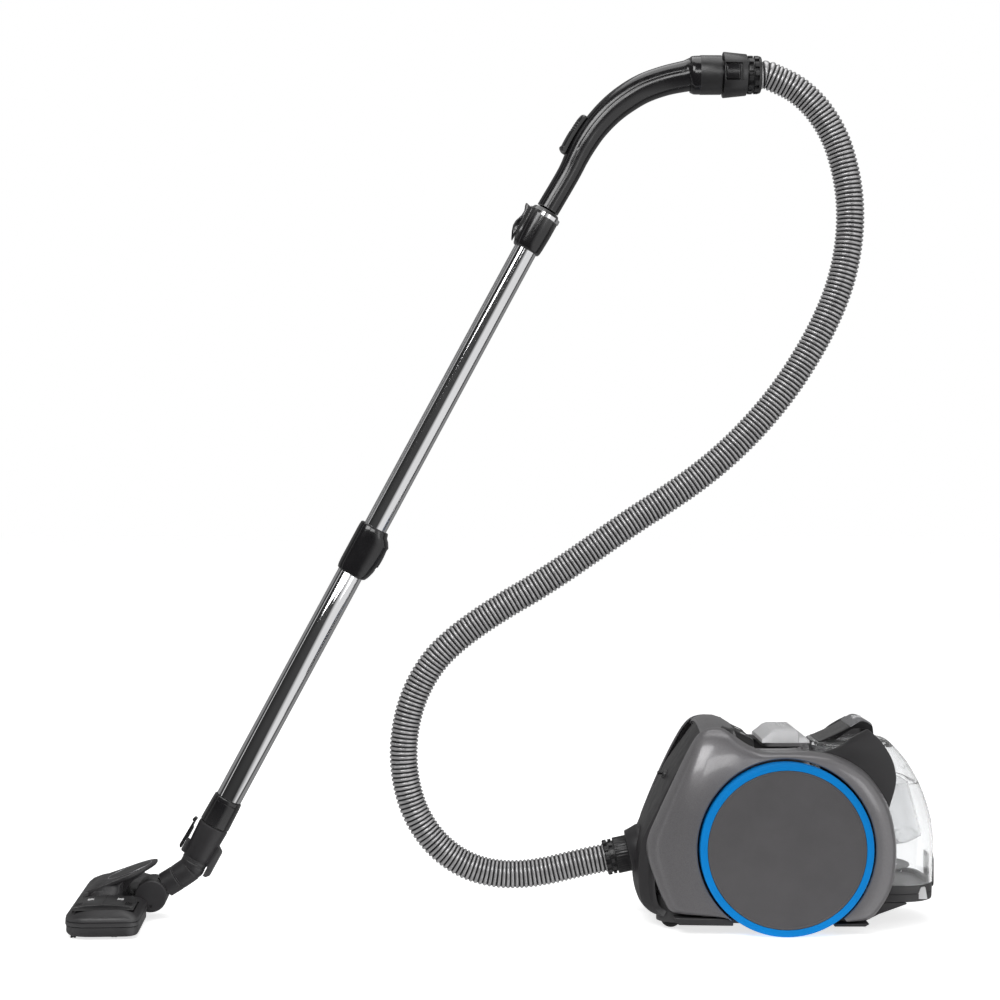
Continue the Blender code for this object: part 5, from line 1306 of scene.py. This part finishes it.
def build_carry_handle():
    """Carrying handle: dark arch, a pale steel cap along its highest point as a painted highlight, thumb key."""
    outer = [(0.0540, 0.2404), (0.0550, 0.2412), (0.0600, 0.2428), (0.0850, 0.2548), (0.1040, 0.2657),
             (0.1100, 0.2686), (0.1170, 0.2682), (0.1230, 0.2648), (0.1262, 0.2600), (0.1275, 0.2404)]
    under = [(0.1230, 0.2404), (0.1215, 0.2530), (0.1150, 0.2590), (0.1060, 0.2594), (0.0950, 0.2565),
             (0.0740, 0.2404)]
    curve = [*smooth_curve(outer, 5), *smooth_curve(under, 4)]
    rings = []
    for share in np.linspace(-1, 1, 21):
        ease = max(0.0, 1 - abs(share) ** 10) ** 0.5
        rings.append([at(x, 0.0400 * share, 0.2404 + (z - 0.2404) * (0.94 + 0.06 * ease)) for x, z in curve])
    arch = loft("carry_handle", rings)
    combine(arch, block("slot", at(0.1045, -0.0066, 0.2616), at(0.1170, 0.0066, 0.2800)))
    dressed(arch, "black_gloss", "bin_lid", "container_handle")
    # Painted highlight: the pale steel cap stands in for the light caught along the dark handle's top.
    path = [(0.0960, 0.2610), (0.1040, 0.2655), (0.1100, 0.2684), (0.1170, 0.2680), (0.1228, 0.2646),
            (0.1258, 0.2604)]
    fine = evenly(smooth_curve(path, 6), 30)
    rings = []
    for i, (x, z) in enumerate(fine):
        before, after = fine[max(0, i - 1)], fine[min(len(fine) - 1, i + 1)]
        way = Vector((after[0] - before[0], 0, after[1] - before[1])).normalized()
        up = Vector((-way.z, 0, way.x))
        lift = 0.0009 if 1 < i < 28 else 0.0003
        rings.append([at(x, y, z) + up * h for y, h in ((-0.0385, -0.0030), (-0.0385, lift * 0.5),
                                                         (-0.0375, lift), (0.0375, lift), (0.0385,
                                                                 lift * 0.5),
                                                         (0.0385, -0.0030))])
    cap = loft("handle_painted_highlight_cap", rings)
    combine(cap, block("slot", at(0.1045, -0.0066, 0.2600), at(0.1170, 0.0066, 0.2800)))
    dressed(cap, "steel", "bin_lid")
    key = rounded(block("thumb_key", at(0.1050, -0.0061, 0.2640), at(0.1165, 0.0061, 0.2710)), 0.0009)
    for k in range(3):
        rib = block("rib", at(0.1077 + 0.0026 * k, -0.0045, 0.2704), at(0.1085 + 0.0026 * k, 0.0045, 0.2740))
        combine(key, rib)
    dressed(key, "light_clear", "bin_release", "release_button")


for side_name, side_sign in SIDES:
    build_shell(side_name, side_sign)
    build_cheek(side_name, side_sign)
    build_wheel(side_name, side_sign)
    build_caster(side_name, side_sign)
for add_step in (build_front_frame, build_tub, build_deck, build_filter_cover, build_dial, build_container,
                 build_separator, build_hood, build_carry_handle):
    add_step()
build_foot_button("rewind", -1.0, "rewind_switch")
build_foot_button("power", 1.0, "power_switch")


# ---------------------------------------------------------------- neck and floor head
HEAD_AXIS = Matrix.Rotation(HEAD_YAW, 3, "Z") @ Y_AXIS


def in_head(x, y, z):
    """A point of the floor head, from its pivot and the floor, turned with the head."""
    spot = Matrix.Rotation(HEAD_YAW, 3, "Z") @ Vector((x, y, 0.0))
    return Vector((HEAD_PIVOT.x + spot.x, HEAD_PIVOT.y + spot.y, z))


def in_head_place(x, y, z, tilt=0.0):
    turn = Matrix.Rotation(HEAD_YAW, 4, "Z") @ Matrix.Rotation(tilt, 4, "Y")
    return Matrix.Translation(in_head(x, y, z)) @ turn


def head_block(low, high):
    shift = Matrix.Translation(Vector((HEAD_PIVOT.x, HEAD_PIVOT.y, 0)))
    return placed(block("tool", low, high), shift @ Matrix.Rotation(HEAD_YAW, 4, "Z"))


def build_neck():
    """Spigot under the lower collar: ring seams, parking hook, and the pad under the clip."""
    start = LOWER_COLLAR[1] + GAP
    body = turned("neck_pipe", WAND_POINT, WAND_DOWN,
                  [(start, 0.0192), (start + 0.0012, 0.0204), (start + 0.0030, 0.0206), (start + 0.0220,
                          0.0198),
                   (start + 0.0440, 0.0184), (NECK_END - 0.0060, 0.0178), (NECK_END - 0.0054, 0.0174),
                   (NECK_END - 0.0046, 0.0174), (NECK_END - 0.0040, 0.0178), (NECK_END - 0.0006, 0.0177),
                   (NECK_END, 0.0172), (NECK_END, 0.0140), (start - 0.0180, 0.0140),
                   (start - 0.0180, INNER_TUBE_R), (start, INNER_TUBE_R)], 96, False)
    hook = [(0.8430, 0.0160), (0.8500, 0.0262), (0.8530, 0.0272), (0.8850, 0.0272), (0.8890, 0.0235),
            (0.8890, 0.0190), (0.8762, 0.0190), (0.8720, 0.0160)]
    pad = [(0.8560, -0.0150), (0.8560, -0.0235), (0.8715, -0.0235), (0.8730, -0.0215), (0.8730, -0.0150)]
    for outline, half in ((hook, 0.0080), (pad, 0.0070)):
        rings = []
        for y, inset in ((-half, 0.93), (-half + 0.0008, 1.0), (half - 0.0008, 1.0), (half, 0.93)):
            rings.append([on_wand(s, n * inset if abs(n) > 0.02 else n, y) for s, n in outline])
        combine(body, loft("part", rings), "UNION")
    dressed(body, "dark_plastic", "lower_wand", "neck_connector")
    blade = [(-0.0200, 0.0246), (-0.0100, 0.0242), (-0.0080, 0.0226), (0.0070, 0.0226), (0.0090, 0.0242),
             (0.0222, 0.0244), (0.0225, 0.0262), (0.0190, 0.0284), (-0.0150, 0.0270),
             (-0.0168, 0.0262)]
    clip = prism("clip_spring", blade, -0.0068, 0.0068)
    curl = turned("curl", (-0.0196, 0.0, 0.0264), Y_AXIS, [(-0.0070, 0.0026), (0.0070, 0.0026)], 40)
    combine(clip, curl, "UNION")
    combine(clip, turned("eye", (-0.0196, 0.0, 0.0264), Y_AXIS, [(-0.0080, 0.0011), (0.0080, 0.0011)], 32))
    placed(rounded(clip, 0.0004, 2), wand_place(0.8475, -1))
    dressed(clip, "black_gloss", "wand_clip", "neck_clip")


def build_elbow():
    """Bent pipe with ring seams and the tilt barrel, whose ends carry a screw recess."""
    top = on_wand(NECK_END + GAP)
    bend = [(top.x, top.z), *[(p.x, p.z) for p in (on_wand(NECK_END + 0.005), on_wand(NECK_END + 0.010))],
            (HEAD_PIVOT.x + 0.0380, 0.0560), (HEAD_PIVOT.x + 0.0290, 0.0502), (HEAD_PIVOT.x + 0.0180, 0.0435)]
    line = evenly(smooth_curve(bend, 8), 60)
    step = math.hypot(line[1][0] - line[0][0], line[1][1] - line[0][1])
    rings, bore = [], []
    for i, (x, z) in enumerate(line):
        before, after = line[max(0, i - 1)], line[min(len(line) - 1, i + 1)]
        way = Vector((after[0] - before[0], 0, after[1] - before[1])).normalized()
        up = Vector((-way.z, 0, way.x))
        along = i * step
        radius = 0.0172 if i else 0.0168
        for seam in (0.0098, 0.0300, 0.0322):
            if abs(along - seam) < 0.0006:
                radius = 0.0166
        turn_by = [2 * math.pi * k / 72 for k in range(72)]
        rings.append([Vector((x, 0, z)) + up * radius * math.cos(t) + Y_AXIS * radius * math.sin(t) for t in turn_by])
        bore.append([Vector((x, 0, z)) + up * 0.0140 * math.cos(t) + Y_AXIS * 0.0140 * math.sin(t) for t in turn_by])
    elbow = loft("elbow_pipe", [*rings, *bore[::-1]], False)
    barrel = turned("barrel", HEAD_PIVOT, HEAD_AXIS,
                    [(-0.0270, 0.0188), (-0.0268, 0.0200), (-0.0256, 0.0212), (-0.0240, 0.0215), (-0.0150,
                            0.0215),
                     (-0.0146, 0.0211), (-0.0138, 0.0211), (-0.0134, 0.0215), (0.0134, 0.0215), (0.0138,
                             0.0211),
                     (0.0146, 0.0211), (0.0150, 0.0215), (0.0240, 0.0215), (0.0256, 0.0212), (0.0268, 0.0200),
                     (0.0270, 0.0188)], 96)
    combine(elbow, barrel, "UNION")
    combine(elbow, turned("bore", HEAD_PIVOT, HEAD_AXIS, [(-0.0225, 0.0180), (0.0225, 0.0180)], 72))
    combine(elbow, turned("mouth", HEAD_PIVOT, (-1, 0, -0.12), [(0.0, 0.0130), (0.03, 0.0130)], 48))
    combine(elbow, turned("way", HEAD_PIVOT, (0.84, 0, 0.54), [(0.0, 0.0130), (0.027, 0.0130)], 48))
    for side in (-1, 1):
        screw = in_head(0.0, 0.0, 0.0190)
        combine(elbow, turned("screw", screw, HEAD_AXIS * side, [(0.0245, 0.0021), (0.0300, 0.0021)], 32))
    dressed(elbow, "dark_plastic", "elbow", "neck_elbow")


def head_outline(inset=0.0, fine=6):
    """The head in plan from its pivot, with rounded corners and the notch for the barrel."""
    reach, front, rear = HEAD_HALF - inset, HEAD_FRONT + inset, HEAD_REAR - inset
    notch, deep = 0.0300 + inset, -0.0285 - inset
    corners = [((rear, reach), 0.016), ((rear, notch), 0.003), ((deep, notch), 0.003), ((deep, -notch),
            0.003),
               ((rear, -notch), 0.003), ((rear, -reach), 0.016), ((front, -reach), 0.034), ((front, reach),
                       0.034)]
    points = []
    for i, (corner, radius) in enumerate(corners):
        here = np.array(corner)
        back = np.array(corners[i - 1][0]) - here
        ahead = np.array(corners[(i + 1) % len(corners)][0]) - here
        a = here + back / np.linalg.norm(back) * radius
        b = here + ahead / np.linalg.norm(ahead) * radius
        for k in range(fine + 1):
            t = k / fine
            points.append(tuple((1 - t) ** 2 * a + 2 * t * (1 - t) * here + t**2 * b))
    return points


def head_slab(name, levels):
    return loft(name, [[in_head(x, y, z) for x, y in head_outline(inset)] for z, inset in levels])


def tongue_height(x):
    """Height of the tongue's top face at x from the pivot."""
    return 0.0430 + 0.0340 * (x + 0.0860) / 0.0930


def tongue_ring(inset, drop):
    half, centre, front = 0.0420, -0.0350, -0.0860
    outline = [(front + inset, -(half + 0.0120) + inset), (front + 0.0220, -half + inset - 0.0060)]
    for k in range(33):
        turn = math.pi * (k / 32 - 0.5)
        outline.append((centre + (half - inset) * math.cos(turn), (half - inset) * math.sin(turn)))
    outline += [(front + 0.0220, half - inset + 0.0060), (front + inset, half + 0.0120 - inset)]
    return [in_head(x, y, tongue_height(x) - drop * (1.0 - 0.5 * (x - front) / 0.0930)) for x, y in outline]


def build_head_cover():
    """Top casing: bevelled front, end-face groove, raised panel, tongue with its silver ring, pedal bay."""
    cover = head_slab("head_casing", [(0.0164, 0.0006), (0.0168, 0.0), (0.0215, 0.0), (0.0219, 0.0006),
                                      (0.0225, 0.0006), (0.0229, 0.0), (0.0262, 0.0005), (0.0285, 0.0022),
                                      (0.0330, 0.0075), (0.0372, 0.0160), (0.0380, 0.0195)])
    hump = []
    for z, x0, x1, half in ((0.0300, -0.0880, -0.0310, 0.0640), (0.0400, -0.0850, -0.0315, 0.0600),
                            (0.0430, -0.0820, -0.0320, 0.0560), (0.0500, -0.0740, -0.0340, 0.0470),
                            (0.0530, -0.0660, -0.0400, 0.0380)):
        ring = []
        for i in range(96):
            turn = 2 * math.pi * (i + 0.5) / 96
            c, s = math.cos(turn), math.sin(turn)
            ring.append(in_head((x0 + x1) / 2 + (x1 - x0) / 2 * math.copysign(abs(c) ** (2 / 3), c),
                                half * math.copysign(abs(s) ** (2 / 3), s), z))
        hump.append(ring)
    combine(cover, loft("hump", hump), "UNION")
    tongue = loft("tongue", [tongue_ring(0.0020, 0.0100), tongue_ring(0.0006, 0.0080), tongue_ring(0.0,
            0.0060),
                             tongue_ring(0.0, 0.0016), tongue_ring(0.0004, 0.0006), tongue_ring(0.0014, 0.0)])
    combine(cover, tongue, "UNION")
    for name, half, foot in (("flank", 0.0410, [(-0.0345, 0.0330), (-0.0345, 0.0590), (-0.0840, 0.0410),
                                                (-0.0840, 0.0330)]),
                             ("arch", 0.0325, [(-0.0380, 0.0330), (-0.0342, 0.0335), (-0.0292, 0.0485),
                                               (-0.0200, 0.0565), (-0.0100, 0.0605), (-0.0100, 0.0680),
                                               (-0.0380, 0.0580)])):
        rings = [[in_head(x, y, z) for x, z in foot] for y in (-half, half)]
        combine(cover, loft(name, rings), "UNION")
    combine(cover, head_block((-0.0900, -0.118, 0.0), (-0.0330, 0.118, 0.0290)))
    combine(cover, head_block((-0.0500, -0.0200, 0.010), (-0.0200, 0.0200, 0.0290)))
    combine(cover, head_block((-0.0905, -0.1335, 0.0310), (-0.0110, -0.0665, 0.0500)))
    for y in (-0.0520, 0.0515):
        combine(cover, head_block((-0.0850, y, 0.0374), (-0.0560, y + 0.0005, 0.0500)))
    dressed(cover, "dark_plastic", "floor_head", "head_cover")
    slope = -math.atan(0.0340 / 0.0930)
    spot = in_head_place(-0.0300, 0.0, tongue_height(-0.0300), slope)
    ring = turned("cover_ring", (0, 0, 0), Z_AXIS,
                  [(-0.0010, 0.0300), (0.0002, 0.0300), (0.0005, 0.0304), (0.0005, 0.0310), (0.0002, 0.0314),
                   (-0.0010, 0.0314)], 128, False)
    dressed(placed(ring, spot), "steel", "floor_head")
    dish = turned("cover_disc", (0, 0, 0), Z_AXIS,
                  [(-0.0010, 0.0298), (0.0001, 0.0298), (0.0003, 0.0290), (0.0004, 0.0150), (0.0004,
                          0.0004)], 128)
    dressed(placed(dish, spot), "black_soft", "floor_head")


def build_sole():
    sole = head_slab("head_base", [(0.0035, 0.0046), (0.0042, 0.0030), (0.0062, 0.0014), (0.0080, 0.0010),
                                   (0.0154, 0.0010), (0.0160, 0.0016)])
    combine(sole, head_block((-0.070, -0.120, 0.0), (-0.046, 0.120, 0.02)))
    for x0, x1 in ((-0.0925, -0.0845), (-0.0405, -0.0325)):
        combine(sole, head_block((x0, -0.1304, -0.001), (x1, 0.1304, 0.0152)))
    for side in (-1, 1):
        y = side * 0.1150
        combine(sole, head_block((-0.0270, y - 0.0100, -0.001), (-0.0090, y + 0.0100, 0.0150)))
        combine(sole, head_block((-0.0800, y - 0.0030, 0.0), (-0.0740, y + 0.0030, 0.0048)))
    dressed(sole, "dark_plastic", "floor_head", "head_sole")


def build_pedal():
    """Two-way pedal with grooves near each end and two generic marks."""
    outline = [(-0.0895, 0.0350), (-0.0120, 0.0350), (-0.0120, 0.0380), (-0.0126, 0.0392), (-0.0200, 0.0405),
               (-0.0320, 0.0422), (-0.0510, 0.0432), (-0.0700, 0.0422), (-0.0820, 0.0405), (-0.0889, 0.0392),
               (-0.0895, 0.0380)]
    rings = []
    for y, low in ((-0.1325, 0.0012), (-0.1319, 0.0004), (-0.1305, 0.0), (-0.0695, 0.0), (-0.0681, 0.0004),
                   (-0.0675, 0.0012)):
        rings.append([in_head(x, y, z if z < 0.0355 else z - low) for x, z in outline])
    pedal = loft("head_pedal_plate", rings)
    combine(pedal, head_block((-0.0512, -0.1320, 0.0428), (-0.0508, -0.0680, 0.0450)))
    for k in range(4):
        for x in (-0.0860 + 0.0022 * k, -0.0160 - 0.0022 * k):
            combine(pedal, head_block((x - 0.0005, -0.1250, 0.0385), (x + 0.0005, -0.1080, 0.0440)))
    dressed(pedal, "black_soft", "brush_pedal", "head_pedal")
    for k, x in enumerate((-0.0700, -0.0320)):
        for j in range(3):
            bar = block(f"pedal_mark_{k}_{j}", (-0.0040, -0.0008, -0.0010), (0.0040, 0.0008, 0.0004))
            lean = 0.055 if k else -0.055
            placed(bar, in_head_place(x, -0.0980 + 0.0034 * j, 0.0422, lean))
            dressed(bar, "light_clear", "brush_pedal", look=PALE_MARK)


def build_bristles():
    """Rows of tapered tufts in a strip holder."""
    for label, x0, x1 in (("front", -0.0920, -0.0850), ("rear", -0.0400, -0.0330)):
        middle = (x0 + x1) / 2
        strip = head_block((x0, -0.1300, 0.0060), (x1, 0.1300, 0.0085))
        strip.name = f"bristles_{label}"
        verts, faces = [], []
        for k in range(52):
            y = -0.1275 + 0.0050 * k
            for row in (-0.0017, 0.0017):
                base = len(verts)
                lean = 0.0003 * math.sin(2.4 * k + 900 * row)
                for z, r, slide in ((0.0066, 0.0013, 0.0), (0.0000, 0.0017, lean)):
                    for c in range(6):
                        turn = math.pi * c / 3
                        verts.append(in_head(middle + row + slide + r * math.cos(turn),
                                             y + r * math.sin(turn), z))
                for c in range(6):
                    d = (c + 1) % 6
                    faces.append((base + c, base + d, base + 6 + d, base + 6 + c))
                faces.append(tuple(base + c for c in range(5, -1, -1)))
                faces.append(tuple(base + 6 + c for c in range(6)))
        tufts = mesh_object("tufts", verts, faces)
        bpy.ops.object.select_all(action="DESELECT")
        tufts.select_set(True)
        strip.select_set(True)
        bpy.context.view_layer.objects.active = strip
        bpy.ops.object.join()
        dressed(strip, "bristle", "brush_strips", f"bristle_strip_{label}")


def build_head_roller(name, side):
    tread = notched(0.0070, 0.0004, 18, 0.4)
    roller = turned(f"head_wheel_{name}", in_head(-0.0180, side * 0.1150, 0.0070), HEAD_AXIS,
                    [(-0.0090, 0.0040), (-0.0090, 0.0055), (-0.0084, 0.0066), (-0.0070, 0.0070), (-0.0040,
                            0.0070),
                     (-0.0038, tread), (0.0038, tread), (0.0040, 0.0070), (0.0070, 0.0070), (0.0084, 0.0066),
                     (0.0090, 0.0055), (0.0090, 0.0040)], 72)
    dressed(roller, "caster_rubber", f"head_wheel_{name}", f"head_roller_{name}")


for build_step in (build_neck, build_elbow, build_head_cover, build_sole, build_pedal, build_bristles):
    build_step()
for side_name, side_sign in SIDES:
    build_head_roller(side_name, side_sign)


# ---------------------------------------------------------------- carried CAD nodes
def dress_carried_nodes():
    """Every CAD node still shown takes its slot's procedural material."""
    for name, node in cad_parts.items():
        if node.hide_render:
            continue
        for place in node.material_slots:
            found = MATERIALS.get(place.material.name.split(".")[0])
            if found:
                place.material = found


dress_carried_nodes()
